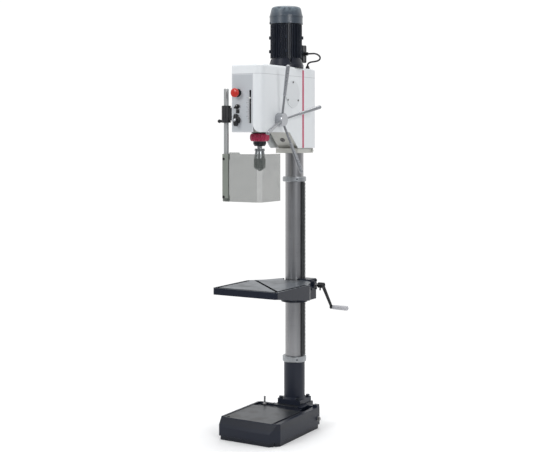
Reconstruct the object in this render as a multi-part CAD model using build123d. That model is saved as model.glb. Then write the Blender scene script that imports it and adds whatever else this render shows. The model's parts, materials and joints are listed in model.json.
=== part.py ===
from build123d import *
import os
from math import cos, sin, tan, pi, radians, sqrt, atan2

# Floor-standing gear-head pillar drill. Millimetres, +Z up, operator's side towards -Y.
# The origin is the centre of the four floor bolts, on the underside of the base.

os.makedirs("parts", exist_ok=True)

# ---- Driving dimensions --------------------------------------------------------------
COLUMN_Y = 240.0            # column axis behind the origin
THROAT = 312.0              # column axis to spindle axis
SPINDLE_Y = COLUMN_Y - THROAT
RUN = 0.05                  # radial running clearance of a shaft in its bore
GAP = 0.3                   # air between parts that only pass each other

BASE_HALF_W = 148.0
BASE_FRONT = -180.0
BASE_REAR_LEFT = 168.0
BASE_REAR_RIGHT = 220.0
BASE_FOOT_H = 18.0
BASE_RIM_Z = 98.0
BASE_PAD_Z = 96.0
BASE_MOAT_Z = 90.0
BASE_PAD_X = 110.0          # right side of the machined face
BASE_PAD_REAR = 98.0
BASE_RIM_X = 128.0          # inner side of the base's rim
BEVEL = 25.0                # run of the long bevel along the front
FLOOR_BOLT_X = 118.0        # half spacing of the floor bolts
FLOOR_BOLT_Y = 142.0
FLOOR_HOLE_R = 7.0
COLUMN_BOSS = 64.0          # half width of the base under the column

FLANGE_HALF = 59.0
FLANGE_T = 22.0
FLANGE_BOLT = 46.0
SLEEVE_R = 48.5
COLUMN_R = 42.5
COLUMN_WALL = 6.0
COLUMN_TOP = 1560.0
RING_R = 55.0
LOW_RING_Z = (288.0, 315.0)
HIGH_RING_Z = (1125.0, 1148.0)
RING_SCREW_DEG = -48.0

GEAR_M = 2.0                # module of every gear and rack
RACK_HALF_W = 10.0
RACK_BACK = 43.2            # back face of the rack, from the column axis
RACK_PITCH = 53.0

TABLE_HALF_W = 164.0
TABLE_FRONT = COLUMN_Y - 442.0
TABLE_REAR = COLUMN_Y - 152.0
TABLE_TOP = 670.0
TABLE_EDGE = 30.0
DRIP_W = 15.0               # drip channel round the table top
DRIP_DEEP = 6.0
SLOT_MID_Y = -24.0          # the diagonal T-slot crosses the centre line here
BRACKET_R = 62.0
BRACKET_Z = 567.0
LIFT_TEETH = 20
LIFT_R = GEAR_M * LIFT_TEETH / 2
LIFT_X = RACK_PITCH + LIFT_R
LIFT_Z = 617.0
WORM_R = 10.5
CRANK_Z = LIFT_Z + LIFT_R + GEAR_M + GAP + WORM_R
HOUSING_X = 98.0
CRANK_ARM = 127.0
CRANK_END_X = 167.0         # end face of the crank's boss, where the grip starts
GRIP_END_X = 243.0
CRANK_LEAN = 32.0           # degrees of the arm behind straight down

HEAD_LEFT = -80.0
HEAD_RIGHT = 70.0
HEAD_FRONT = -175.0
HEAD_REAR = COLUMN_Y + 80.0
HEAD_Z = 1353.0
HEAD_TOP = 1650.0
HEAD_BAND_Z = 1608.0
HEAD_SKIRT_Z = 1281.0
CLAMP_Z = 1258.0
CLAMP_SCREWS = ((1269.0, 60.0), (1320.0, 55.0))   # height, and half length of the bore
CLAMP_SCREW_Y = 56.0        # behind the column axis
PANEL_RIGHT = 30.0
CORNER_R = 40.0
SHEET = 3.0

DECK_Z = (1480.0, 1492.0)
ROOF_Z = (1632.0, 1644.0)
QUILL_R = 28.0
QUILL_TOP = 1508.0
QUILL_BOTTOM = 1312.0
QUILL_STROKE = 90.0
QUILL_RACK = 26.0           # pitch line of the quill rack, behind the spindle axis
FEED_TEETH = 16
FEED_R = GEAR_M * FEED_TEETH / 2
FEED_Y = SPINDLE_Y + QUILL_RACK + FEED_R
FEED_Z = 1408.7
RING_GRIP_R = 44.0
COLLAR_LIP_Z = HEAD_Z - 5    # lower face of the collar's lip, over the stop ring
CHUCK_TOP = 1281.0
CHUCK_BOTTOM = 1187.0

SPINDLE_TEETH = 48
LAY2_SMALL = 34
LAY2_BIG = 57
LAY1_SMALL = 28
LAY1_BIG = 51
MOTOR_TEETH = 17
LAY2_Y = SPINDLE_Y + GEAR_M * (SPINDLE_TEETH + LAY2_SMALL) / 2
LAY1_Y = LAY2_Y + GEAR_M * (LAY2_BIG + LAY1_SMALL) / 2
MOTOR_Y = LAY1_Y + GEAR_M * (LAY1_BIG + MOTOR_TEETH) / 2
GEAR_W = 14.0
LEVEL_1 = 1540.0            # spindle gear and small gear of the second layshaft
LEVEL_2 = 1562.0            # second layshaft's big gear
LEVEL_3 = 1588.0            # first layshaft's big gear and the motor pinion
LAY_R = 9.0

MOTOR_Z = (1690.0, 1851.0)
COWL_R = 76.0
COWL_TOP = 1930.0

GUARD_X = -118.0
GUARD_Y = -161.0
GUARD_ROD_R = 11.0
GUARD_ROD_TOP = 1545.0
SHIELD_Z = (1049.0, 1258.0)
SHIELD_Y = -180.0
SHIELD_X = 70.0
SHIELD_T = 3.0

CONTROL_X = -49.0
ESTOP_Z = 1525.0
ROTARY_Z = 1465.0
BUTTON_Z = 1444.0
SELECTOR_Z = 1406.0
HATCH_Y = 101.0
HATCH_Z = 1526.0
SCALE_X = 15.0
SCALE_Z = (1392.0, 1536.0)
POINTER_Z = 1502.0

CAPSTAN_X = (71.0, 104.0)
CAPSTAN_R = 30.0
SPOKE_L = 253.0
SPOKE_CONE = 15.5
SPOKE_TURN = 104.5          # degrees from +Y towards +Z of the first spoke

CORD_D = 8.0


# ---- Small helpers -------------------------------------------------------------------
def block(x0, x1, y0, y1, z0, z1):
    return Pos((x0 + x1) / 2, (y0 + y1) / 2, (z0 + z1) / 2) * Box(x1 - x0, y1 - y0, z1 - z0)


def rod_z(x, y, z0, z1, r):
    return Pos(x, y, (z0 + z1) / 2) * Cylinder(r, z1 - z0)


def rod_x(x0, x1, y, z, r):
    return Pos((x0 + x1) / 2, y, z) * Rot(0, 90, 0) * Cylinder(r, x1 - x0)


def rod_y(x, y0, y1, z, r):
    return Pos(x, (y0 + y1) / 2, z) * Rot(90, 0, 0) * Cylinder(r, y1 - y0)


def tube_z(x, y, z0, z1, r_out, r_in):
    return rod_z(x, y, z0, z1, r_out) - rod_z(x, y, z0 - 1, z1 + 1, r_in)


def tube_x(x0, x1, y, z, r_out, r_in):
    return rod_x(x0, x1, y, z, r_out) - rod_x(x0 - 1, x1 + 1, y, z, r_in)


def cone_z(x, y, z0, z1, r0, r1):
    return Pos(x, y, (z0 + z1) / 2) * Cone(r0, r1, z1 - z0)


def prism_z(points, z0, z1):
    face = make_face(Polyline(*[(x, y, z0) for x, y in points], close=True))
    return extrude(face, z1 - z0, dir=(0, 0, 1))


def prism_x(points, x0, x1):
    face = make_face(Polyline(*[(x0, y, z) for y, z in points], close=True))
    return extrude(face, x1 - x0, dir=(1, 0, 0))


def prism_y(points, y0, y1):
    face = make_face(Polyline(*[(x, y0, z) for x, z in points], close=True))
    return extrude(face, y1 - y0, dir=(0, 1, 0))


def hex_z(x, y, z0, z1, across):
    return Pos(x, y, z0) * extrude(RegularPolygon(across / sqrt(3), 6), z1 - z0)


def between(p, q, r0, r1):
    """A round bar from p to q, with end radii r0 and r1."""
    a = Vector(*p)
    b = Vector(*q)
    axis = b - a
    bar = Cylinder(r0, axis.length) if r0 == r1 else Cone(r0, r1, axis.length)
    return Plane(origin=a, z_dir=axis) * Pos(0, 0, axis.length / 2) * bar


def group(*pieces):
    """Several pieces of one body, kept as separate solids of one node."""
    return Compound([solid for piece in pieces for solid in piece.solids()])


def involute_gear(teeth, width, backlash=0.12):
    """A spur gear about Z with its lower face at z = 0 and a tooth on +X."""
    pitch = GEAR_M * teeth / 2
    base = pitch * cos(radians(20))
    tip = pitch + GEAR_M
    root = pitch - 1.25 * GEAR_M
    inv = tan(radians(20)) - radians(20)
    half = (pi * GEAR_M / 2 - backlash) / 2 / pitch
    points = []
    for i in range(teeth):
        centre = 2 * pi * i / teeth
        flank = []
        for k in range(5):
            r = max(base, root) + (tip - max(base, root)) * k / 4
            press = sqrt(max(r * r / base / base - 1, 0))
            flank.append((r, half + inv - (press - atan2(press, 1))))
        side = [(root, flank[0][1])] if root < base else []
        for r, a in side + flank:
            points.append((r * cos(centre - a), r * sin(centre - a)))
        for r, a in reversed(side + flank):
            points.append((r * cos(centre + a), r * sin(centre + a)))
    return prism_z(points, 0, width)


def rack_teeth(first, last, depth_root, phase):
    """Outline (u, z) of rack teeth: u is the distance out from the pitch line."""
    pitch = pi * GEAR_M
    half_tip = pitch / 4 - 0.06 - GEAR_M * tan(radians(20))
    half_root = pitch / 4 - 0.06 + 1.25 * GEAR_M * tan(radians(20))
    points = []
    for i in range(first, last + 1):
        z = phase + i * pitch
        points += [(-depth_root, z - half_root), (GEAR_M, z - half_tip)]
        points += [(GEAR_M, z + half_tip), (-depth_root, z + half_root)]
    return points


# ---- Base ----------------------------------------------------------------------------
def base_outline(inset):
    w = BASE_HALF_W - inset
    front = BASE_FRONT + inset
    cut = 36.0
    rl = BASE_REAR_LEFT - inset
    rr = BASE_REAR_RIGHT - inset
    boss = COLUMN_BOSS - inset
    back = COLUMN_Y + COLUMN_BOSS - inset
    small = 6.0
    return [(-w, front + small), (-w + small, front), (w - cut, front), (w, front + cut),
            (w, rr - 8), (w - 8, rr), (boss + 14, rr), (boss, rr + 14), (boss, back),
            (-boss, back), (-boss, rl + 10), (-boss - 10, rl), (-w + 14, rl), (-w, rl - 14)]


def base_casting():
    body = prism_z(base_outline(0), BASE_FOOT_H, BASE_RIM_Z)
    body += prism_z(base_outline(5), 0, BASE_FOOT_H)
    # raised lug at the rear right corner, over the coolant drain
    body += block(BASE_HALF_W - 22, BASE_HALF_W, BASE_REAR_RIGHT - 34, BASE_REAR_RIGHT - 10,
                  BASE_RIM_Z - 1, BASE_RIM_Z + 12)
    # long bevel along the front
    front = BASE_FRONT + BEVEL
    over = BASE_RIM_Z + 1
    bevel = [(BASE_FRONT - 1, 55), (BASE_FRONT, 55), (front, BASE_PAD_Z - 1), (front, over),
             (BASE_FRONT - 1, over)]
    body -= prism_x(bevel, -BASE_HALF_W - 1, BASE_HALF_W + 1)
    # machined working face, with coolant channels on its right and behind it
    rear = BASE_REAR_LEFT - 16
    left = -BASE_HALF_W + 9
    body -= block(left, BASE_PAD_X, front - 1, BASE_PAD_REAR, BASE_PAD_Z, over)
    body -= block(BASE_PAD_X, BASE_RIM_X, front + 4, rear, BASE_MOAT_Z, over)
    body -= block(left, BASE_RIM_X, BASE_PAD_REAR, rear, BASE_MOAT_Z, over)
    body -= block(88, BASE_RIM_X - 4, 120, BASE_REAR_RIGHT - 14, BASE_MOAT_Z - 16, over)
    body -= block(-COLUMN_BOSS - 1, COLUMN_BOSS + 1, BASE_REAR_LEFT - 17, COLUMN_Y + 80,
                  BASE_PAD_Z, BASE_RIM_Z + 1)
    # hollow underside, with a solid land for the column and a boss at each floor bolt
    body -= block(-BASE_RIM_X, BASE_RIM_X, BASE_FRONT + 20, rear - 4, -1, BASE_MOAT_Z - 36)
    for sx in (-1, 1):
        for sy in (-1, 1):
            x = sx * FLOOR_BOLT_X
            y = sy * FLOOR_BOLT_Y
            body += rod_z(x, y, 0, BASE_MOAT_Z - 16, 19) & prism_z(base_outline(8), 0, BASE_MOAT_Z)
            body -= rod_z(x, y, -1, BASE_RIM_Z, FLOOR_HOLE_R)
    for x, y in flange_bolt_places():
        body -= rod_z(x, y, 66, BASE_RIM_Z, 6)
    body -= rod_x(BASE_HALF_W - 14, BASE_HALF_W + 1, 196, 46, 8)
    return body


def flange_bolt_places():
    return [(sx * FLANGE_BOLT, COLUMN_Y + sy * FLANGE_BOLT) for sx in (-1, 1) for sy in (-1, 1)]


def drain_plug():
    x = BASE_HALF_W
    plug = rod_x(x - 14, x, 196, 46, 8) + rod_x(x, x + 3, 196, 46, 11)
    return plug + Pos(x + 3, 196, 46) * Rot(0, 90, 0) * extrude(RegularPolygon(8, 6), 8)


def coolant_nipple():
    x, y = -104.0, 144.0
    z = BASE_MOAT_Z
    body = hex_z(x, y, z, z + 6, 16) + cone_z(x, y, z + 6, z + 12, 7, 4.5)
    return body + rod_z(x, y, z + 12, z + 38, 4) + cone_z(x, y, z + 34, z + 40, 5, 4)


# ---- Column --------------------------------------------------------------------------
def column_flange():
    z = BASE_PAD_Z
    plate = block(-FLANGE_HALF, FLANGE_HALF, COLUMN_Y - FLANGE_HALF, COLUMN_Y + FLANGE_HALF,
                  z, z + FLANGE_T)
    plate = fillet(plate.edges().filter_by(Axis.Z), 7)
    body = plate + rod_z(0, COLUMN_Y, z + FLANGE_T, LOW_RING_Z[0], SLEEVE_R)
    body += cone_z(0, COLUMN_Y, z + FLANGE_T, z + FLANGE_T + 7, SLEEVE_R + 7, SLEEVE_R)
    for x, y in flange_bolt_places():
        body -= rod_z(x, y, z - 1, z + FLANGE_T + 1, 6)
        body -= rod_z(x, y, z + FLANGE_T, z + FLANGE_T + 9, 11)
    return body - rod_z(0, COLUMN_Y, z - 1, LOW_RING_Z[0] + 1, COLUMN_R)


def flange_bolts():
    top = BASE_PAD_Z + FLANGE_T
    bolts = []
    for x, y in flange_bolt_places():
        bolt = rod_z(x, y, 66, top, 6) + rod_z(x, y, top, top + 2, 10.5)
        bolts.append(bolt + hex_z(x, y, top + 2, top + 10, 17))
    return Compound(bolts)


def column_tube():
    return tube_z(0, COLUMN_Y, BASE_PAD_Z, COLUMN_TOP, COLUMN_R, COLUMN_R - COLUMN_WALL)


def rack_ring(z_pair):
    z0, z1 = z_pair
    ring = rod_z(0, COLUMN_Y, z0, z1, RING_R)
    ring = chamfer(ring.edges().filter_by(GeomType.CIRCLE), 3)
    ring -= rod_z(0, COLUMN_Y, z0 - 1, z1 + 1, COLUMN_R)
    return ring - ring_screw((z0 + z1) / 2, 1)


def ring_screw(z, extra):
    a = radians(RING_SCREW_DEG)
    ends = []
    for r in (COLUMN_R, RING_R - 1 + extra * 3):
        ends.append((r * cos(a), COLUMN_Y + r * sin(a), z))
    return between(ends[0], ends[1], 4, 4)


def ring_screws():
    screws = []
    for z0, z1 in (LOW_RING_Z, HIGH_RING_Z):
        screws.append(ring_screw((z0 + z1) / 2, 0))
    return Compound(screws)


def column_rack():
    z0 = LOW_RING_Z[1] + 0.4
    z1 = HIGH_RING_Z[0] - 0.4
    first = int((z0 - LIFT_Z) / (pi * GEAR_M)) + 1
    last = int((z1 - LIFT_Z) / (pi * GEAR_M)) - 1
    phase = LIFT_Z + pi * GEAR_M / 2
    teeth = [(RACK_PITCH + u, z) for u, z in rack_teeth(first, last, 1.25 * GEAR_M, phase)]
    root = RACK_PITCH - 1.25 * GEAR_M
    outline = [(RACK_BACK, z0), (root, z0)] + teeth + [(root, z1), (RACK_BACK, z1)]
    return prism_y(outline, COLUMN_Y - RACK_HALF_W, COLUMN_Y + RACK_HALF_W)


# ---- Table ---------------------------------------------------------------------------
def table_casting():
    w = TABLE_HALF_W
    top = TABLE_TOP
    low = top - TABLE_EDGE
    # the rear right corner is cut back so that the crank arm swings past it
    corner = [(w, TABLE_REAR), (w - 14, TABLE_REAR + 10), (w - 40, COLUMN_Y - 70)]
    plan = [(-w, TABLE_FRONT + 8), (-w + 8, TABLE_FRONT), (w - 8, TABLE_FRONT), (w, TABLE_FRONT + 8)]
    plan += corner
    plan += [(BRACKET_R, COLUMN_Y), (-BRACKET_R, COLUMN_Y), (-w + 60, COLUMN_Y - 88), (-w, TABLE_REAR)]
    body = prism_z(plan, low, top)
    body -= rod_z(0, COLUMN_Y, low - 1, top + 1, COLUMN_R + 12)
    # the underside is hollow within a rim, with a keel that deepens to the bracket
    body -= block(-w + 12, w - 12, TABLE_FRONT + 16, TABLE_REAR - 6, low - 1, top - 22)
    keel = [(TABLE_FRONT + 60, low + 6), (COLUMN_Y - 40, BRACKET_Z + 4), (COLUMN_Y - 40, top - 10),
            (TABLE_FRONT + 60, top - 10)]
    for x in (-34, 34):
        body += prism_x(keel, x - 6, x + 6)
    side = [(TABLE_FRONT + 8, low), (COLUMN_Y - 90, BRACKET_Z + 24), (COLUMN_Y - 10, BRACKET_Z + 18),
            (COLUMN_Y - 10, low), (TABLE_REAR, top - 4), (TABLE_FRONT + 8, top - 4)]
    strip = [(w - 11, TABLE_FRONT + 8), (w, TABLE_FRONT + 8)] + corner
    strip += [(HOUSING_X + 2, COLUMN_Y - 40), (HOUSING_X - 4, COLUMN_Y - 24),
              (HOUSING_X - 16, COLUMN_Y - 24), (w - 52, COLUMN_Y - 70), (w - 26, TABLE_REAR + 8),
              (w - 11, TABLE_REAR - 4)]
    body += prism_x(side, 60, w + 4) & prism_z(strip, BRACKET_Z, top - 4)
    # column bracket and the gear housing on its right
    body += rod_z(0, COLUMN_Y, BRACKET_Z, top - 10, BRACKET_R)
    body += block(38, HOUSING_X, COLUMN_Y - 32, COLUMN_Y + 32, BRACKET_Z + 15, top + 6)
    body += block(-13, 13, COLUMN_Y + 50, COLUMN_Y + 88, BRACKET_Z + 28, top - 30)
    body -= rod_z(0, COLUMN_Y, BRACKET_Z - 1, top + 8, COLUMN_R + 0.15)
    body -= block(30, RACK_PITCH + GEAR_M + 0.6, COLUMN_Y - RACK_HALF_W - 0.5,
                  COLUMN_Y + RACK_HALF_W + 0.5, BRACKET_Z - 1, top + 8)
    body -= block(-1.5, 1.5, COLUMN_Y + 38, COLUMN_Y + 90, BRACKET_Z - 1, top)
    body -= rod_x(-14, 14, COLUMN_Y + 74, LIFT_Z, 6 + RUN)
    # chamber for the lift pinion and the worm, closed on the right by the housing cap
    wall_in = LIFT_X + LIFT_R + GEAR_M + 1
    body -= rod_y(LIFT_X, COLUMN_Y - 11, COLUMN_Y + 11, LIFT_Z, LIFT_R + GEAR_M + 1)
    body -= block(52, wall_in, COLUMN_Y - 13, COLUMN_Y + 13, LIFT_Z, CRANK_Z + 12)
    body -= rod_y(LIFT_X, COLUMN_Y - 26, COLUMN_Y + 26, LIFT_Z, 8 + RUN)
    body -= rod_x(wall_in - 1, HOUSING_X + 1, COLUMN_Y, CRANK_Z, WORM_R + 1)
    for y, z in cap_screw_places():
        body -= rod_x(HOUSING_X - 12, HOUSING_X + 1, y, z, 3)
    # diagonal T-slot, drip channel along the front and sides, and its drain
    slot = Box(420, 14, 14) + Pos(0, 0, -6) * Box(420, 23, 8)
    slot = Pos(0, SLOT_MID_Y, top - 6) * Rot(0, 0, -45) * slot
    body -= slot & block(-w + 18, w - 18, TABLE_FRONT + 19, TABLE_REAR + 14, 0, top + 2)
    rim = 7.0
    inside = rim + DRIP_W
    rear = TABLE_REAR - 6
    drip = block(-w + rim, w - rim, TABLE_FRONT + rim - 2, rear, top - DRIP_DEEP, top + 1)
    drip -= block(-w + inside, w - inside, TABLE_FRONT + inside - 2, rear, top - 7, top + 2)
    body -= drip
    return body - rod_z(w - 17, TABLE_REAR - 14, low, top + 1, 4)


def housing_cap():
    x = HOUSING_X
    cap = block(x, x + 4, COLUMN_Y - 30, COLUMN_Y + 30, CRANK_Z - 26, CRANK_Z + 23)
    cap += rod_x(x, x + 12, COLUMN_Y, CRANK_Z, 15)
    cap -= rod_x(x - 1, x + 13, COLUMN_Y, CRANK_Z, 8 + RUN)
    for y, z in cap_screw_places():
        cap -= rod_x(x - 1, x + 5, y, z, 3)
    return cap


def cap_screw_places():
    return [(COLUMN_Y + sy * 22, CRANK_Z + sz * 18) for sy in (-1, 1) for sz in (-1, 1)]


def cap_screws():
    x = HOUSING_X
    screws = []
    for y, z in cap_screw_places():
        head = rod_x(x + 4, x + 8, y, z, 5) - rod_x(x + 6, x + 9, y, z, 2.4)
        screws.append(head + rod_x(x - 10, x + 4, y, z, 3))
    return Compound(screws)


def lift_pinion():
    gear = Rot(90, 0, 0) * Rot(0, 0, 180) * involute_gear(LIFT_TEETH, 18)
    body = Pos(LIFT_X, COLUMN_Y + 9, LIFT_Z) * gear
    return body + rod_y(LIFT_X, COLUMN_Y - 25, COLUMN_Y + 25, LIFT_Z, 8)


def crank_shaft():
    wall_in = LIFT_X + LIFT_R + GEAR_M
    shaft = rod_x(56, wall_in, COLUMN_Y, CRANK_Z, WORM_R)
    return shaft + rod_x(wall_in, 152, COLUMN_Y, CRANK_Z, 8)


def crank_tip():
    a = radians(CRANK_LEAN)
    return COLUMN_Y + CRANK_ARM * sin(a), CRANK_Z - CRANK_ARM * cos(a)


def crank_arm():
    y1, z1 = crank_tip()
    hub = tube_x(128, 156, COLUMN_Y, CRANK_Z, 13, 8)
    hub -= rod_x(152, 157, COLUMN_Y, CRANK_Z, 8)
    arm = between((150, COLUMN_Y, CRANK_Z), (160, y1, z1), 8, 6.5)
    arm -= rod_x(127, 152, COLUMN_Y, CRANK_Z, 8)
    boss = rod_x(154, CRANK_END_X, y1, z1, 8.5)
    body = hub + arm + boss
    body += rod_z(136, COLUMN_Y, CRANK_Z - 24, CRANK_Z - 12, 3.5)
    return body + rod_x(CRANK_END_X, GRIP_END_X, y1, z1, 5)


def crank_grip():
    y1, z1 = crank_tip()
    body = tube_x(CRANK_END_X + GAP, GRIP_END_X, y1, z1, 11, 5 + RUN)
    body = fillet(body.edges().filter_by(GeomType.CIRCLE).sort_by(SortBy.RADIUS)[-2:], 3)
    return body + tube_x(GRIP_END_X, GRIP_END_X + 2, y1, z1, 7, 5 + RUN)


def lock_lever():
    y = COLUMN_Y + 74
    stem = rod_x(-34, 20, y, LIFT_Z, 6) + rod_x(-40, -13.3, y, LIFT_Z, 11)
    stem += rod_x(13.3, 20, y, LIFT_Z, 10)
    end = (-62, y + 20, LIFT_Z + 74)
    stem += between((-34, y, LIFT_Z), end, 6, 5)
    return stem + Pos(*end) * Sphere(12)


# ---- Head casting and its plain fittings ---------------------------------------------
def head_casting():
    front = COLUMN_Y - 130
    body = block(-60, 60, COLUMN_Y - 75, COLUMN_Y + 77, CLAMP_Z, HEAD_SKIRT_Z - 1)
    body = fillet(body.edges().filter_by(Axis.Z), 8)
    body += block(-55, 55, 190, 300, HEAD_SKIRT_Z - 1, ROOF_Z[1])
    slope = [(front, HEAD_Z), (COLUMN_Y - 50, HEAD_SKIRT_Z - 1), (COLUMN_Y - 40, HEAD_SKIRT_Z - 1),
             (COLUMN_Y - 40, HEAD_Z)]
    body += prism_x(slope, -55, 55)
    body += block(-62, 62, -150, 195, HEAD_Z, HEAD_Z + 12)
    body += rod_z(0, SPINDLE_Y, HEAD_Z, DECK_Z[0], 42)
    body += block(-62, 62, -140, 195, *DECK_Z)
    body += block(-62, 62, -140, 195, *ROOF_Z)
    body += block(-62, -50, -142, -134, HEAD_Z, ROOF_Z[1])
    body += block(50, 62, -142, -134, HEAD_Z, ROOF_Z[1])
    # bores: column, quill, capstan shaft, layshaft bearings
    body -= rod_z(0, COLUMN_Y, CLAMP_Z - 1, COLUMN_TOP, COLUMN_R)
    body -= rod_z(0, SPINDLE_Y, DECK_Z[0] - 11, DECK_Z[1] + 1, QUILL_R + 1)
    body -= rod_x(-30, 30, FEED_Y, FEED_Z, FEED_R + GEAR_M + 1)
    body += tube_x(22, 62, FEED_Y, FEED_Z, 21, 9)
    body += tube_x(-62, -22, FEED_Y, FEED_Z, 21, 9)
    body -= rod_x(-70, 70, FEED_Y, FEED_Z, 9 + RUN)
    body -= rod_z(0, SPINDLE_Y, HEAD_Z - 1, DECK_Z[0] - 10, QUILL_R + RUN)
    # slot down which the depth pointer travels with the quill
    body -= block(SCALE_X - 3.6, SCALE_X + 3.6, -151, SPINDLE_Y, POINTER_Z - QUILL_STROKE - 4,
                  DECK_Z[1] + 1)
    for y in (LAY2_Y, LAY1_Y):
        body -= rod_z(0, y, DECK_Z[0] - 1, DECK_Z[1] + 1, 16)
        body -= rod_z(0, y, ROOF_Z[0] - 1, ROOF_Z[1] + 1, 16)
    body -= rod_z(0, SPINDLE_Y, ROOF_Z[0] - 1, ROOF_Z[1] + 1, 25)
    body -= rod_z(0, MOTOR_Y, ROOF_Z[0] - 1, ROOF_Z[1] + 1, 22)
    for x, y in top_screw_places():
        body -= rod_z(x, y, ROOF_Z[0], ROOF_Z[1] + 1, 4)
    # pinch slot of the column clamp, behind the column, and its two screws
    body -= block(-1.5, 1.5, COLUMN_Y + 40, COLUMN_Y + 80, CLAMP_Z - 1, HEAD_Z)
    for z, end in CLAMP_SCREWS:
        body -= rod_x(-end - 1, end + 1, COLUMN_Y + CLAMP_SCREW_Y, z, 4.5)
    plug_y, plug_z = plug_place()
    body -= plug_bar(plug_y, plug_z, -10, 0, 9)
    return body


def plug_place():
    z = 1319.0
    share = (HEAD_Z - z) / (HEAD_Z - HEAD_SKIRT_Z + 1)
    return COLUMN_Y - 130 + share * 80, z


def plug_bar(y, z, deep, out, r):
    """A bar normal to the sloping nose of the casting, from depth to height."""
    n = Vector(0, -(HEAD_Z - HEAD_SKIRT_Z + 1), -80).normalized()
    x = -10.0
    return between((x, y + n.Y * deep, z + n.Z * deep), (x, y + n.Y * out, z + n.Z * out), r, r)


def casting_plug():
    y, z = plug_place()
    return plug_bar(y, z, -10, 0, 9) + (plug_bar(y, z, 0, 3, 12) - plug_bar(y, z, 1, 4, 5))


def clamp_screws():
    screws = []
    y = COLUMN_Y + CLAMP_SCREW_Y
    for z, end in CLAMP_SCREWS:
        bar = rod_x(-end, end, y, z, 4.5)
        bar += rod_x(end, end + 7, y, z, 7) - rod_x(end + 4, end + 8, y, z, 3.5)
        screws.append(bar + rod_x(-end - 6, -end, y, z, 7))
    return Compound(screws)


def bearing_z(y, z0, z1, r_out, r_in):
    ring = tube_z(0, y, z0, z1, r_out, r_in + RUN)
    mid = (r_out + r_in) / 2
    for z in (z0, z1 - 1):
        ring -= tube_z(0, y, z, z + 1, mid + 2, mid - 1.5)
    return ring


def gear_bearings():
    rings = []
    for y in (LAY2_Y, LAY1_Y):
        rings.append(bearing_z(y, *DECK_Z, 16, LAY_R))
        rings.append(bearing_z(y, *ROOF_Z, 16, LAY_R))
    rings.append(bearing_z(SPINDLE_Y, *ROOF_Z, 25, 17))
    return Compound(rings)


# ---- Sheet covers --------------------------------------------------------------------
def cover_plan(inset, panel):
    """Plan of the head. With panel true the front is flush with the control panel."""
    left = HEAD_LEFT + inset
    right = HEAD_RIGHT - inset
    front = HEAD_FRONT + inset - (0 if panel else 2.5)
    rear = HEAD_REAR - inset
    r = CORNER_R - inset
    s = 12 - inset
    edges = [Line((left, front), (right - r, front)),
             RadiusArc((right - r, front), (right, front + r), -r),
             Line((right, front + r), (right, rear - s)),
             RadiusArc((right, rear - s), (right - s, rear), -s),
             Line((right - s, rear), (left + s, rear)),
             RadiusArc((left + s, rear), (left, rear - s), -s),
             Line((left, rear - s), (left, front))]
    return make_face(Wire(edges))


def head_cover():
    z0 = HEAD_SKIRT_Z
    shell = Pos(0, 0, z0) * extrude(cover_plan(0, False), HEAD_BAND_Z - z0)
    shell -= Pos(0, 0, z0 - 1) * extrude(cover_plan(SHEET, False), HEAD_BAND_Z - z0 + 2)
    # the skirt steps up in front of the column
    step = [(HEAD_FRONT - 10, z0 - 1), (COLUMN_Y - 85, z0 - 1), (COLUMN_Y - 165, HEAD_Z),
            (HEAD_FRONT - 10, HEAD_Z)]
    shell -= prism_x(step, HEAD_LEFT - 1, HEAD_RIGHT + 1)
    y0 = HEAD_FRONT - 10
    shell -= block(HEAD_LEFT - 1, PANEL_RIGHT, y0, HEAD_FRONT + 3, z0 - 1, HEAD_BAND_Z + 1)
    # round lower corner beside the panel
    r = 35.0
    y1 = HEAD_FRONT + 25
    corner = block(PANEL_RIGHT - 1, PANEL_RIGHT + r, y0, y1, HEAD_Z - 1, HEAD_Z + r)
    corner -= rod_y(PANEL_RIGHT + r, y0 - 1, y1 + 1, HEAD_Z + r, r)
    shell -= corner
    # vents in the back, the mains gland hole and the shaft hole for the capstan
    for i in range(7):
        shell -= block(-45, 45, HEAD_REAR - 6, HEAD_REAR + 1, 1420 + i * 16, 1426 + i * 16)
    shell -= rod_y(-20, HEAD_REAR - 6, HEAD_REAR + 1, 1340, 9)
    shell -= rod_x(HEAD_RIGHT - 6, HEAD_RIGHT + 1, FEED_Y, FEED_Z, 12)
    shell -= rod_x(HEAD_RIGHT - 6, HEAD_RIGHT + 1, HATCH_Y, HATCH_Z, 48)
    for y, z in hatch_screw_places():
        shell -= rod_x(HEAD_RIGHT - 6, HEAD_RIGHT + 1, y, z, 2)
    return shell


def head_top():
    h = HEAD_TOP - HEAD_BAND_Z
    cap = Pos(0, 0, HEAD_BAND_Z) * extrude(cover_plan(0, True), h)
    rim = cap.edges().filter_by_position(Axis.Z, HEAD_TOP - 0.1, HEAD_TOP + 0.1)
    cap = fillet(rim, 10)
    cap -= Pos(0, 0, HEAD_BAND_Z - 1) * extrude(cover_plan(SHEET, True), h - 2)
    cap -= rod_z(0, MOTOR_Y, HEAD_TOP - 10, HEAD_TOP + 1, 40)
    cap -= rod_z(48, COLUMN_Y + 40, HEAD_TOP - 10, HEAD_TOP + 1, 8)
    for x, y in top_screw_places():
        cap -= rod_z(x, y, HEAD_TOP - 10, HEAD_TOP + 1, 4)
    return cap


def top_screw_places():
    return [(68 * cos(radians(a)), MOTOR_Y + 68 * sin(radians(a))) for a in (45, 135, 225, 315)]


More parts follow.
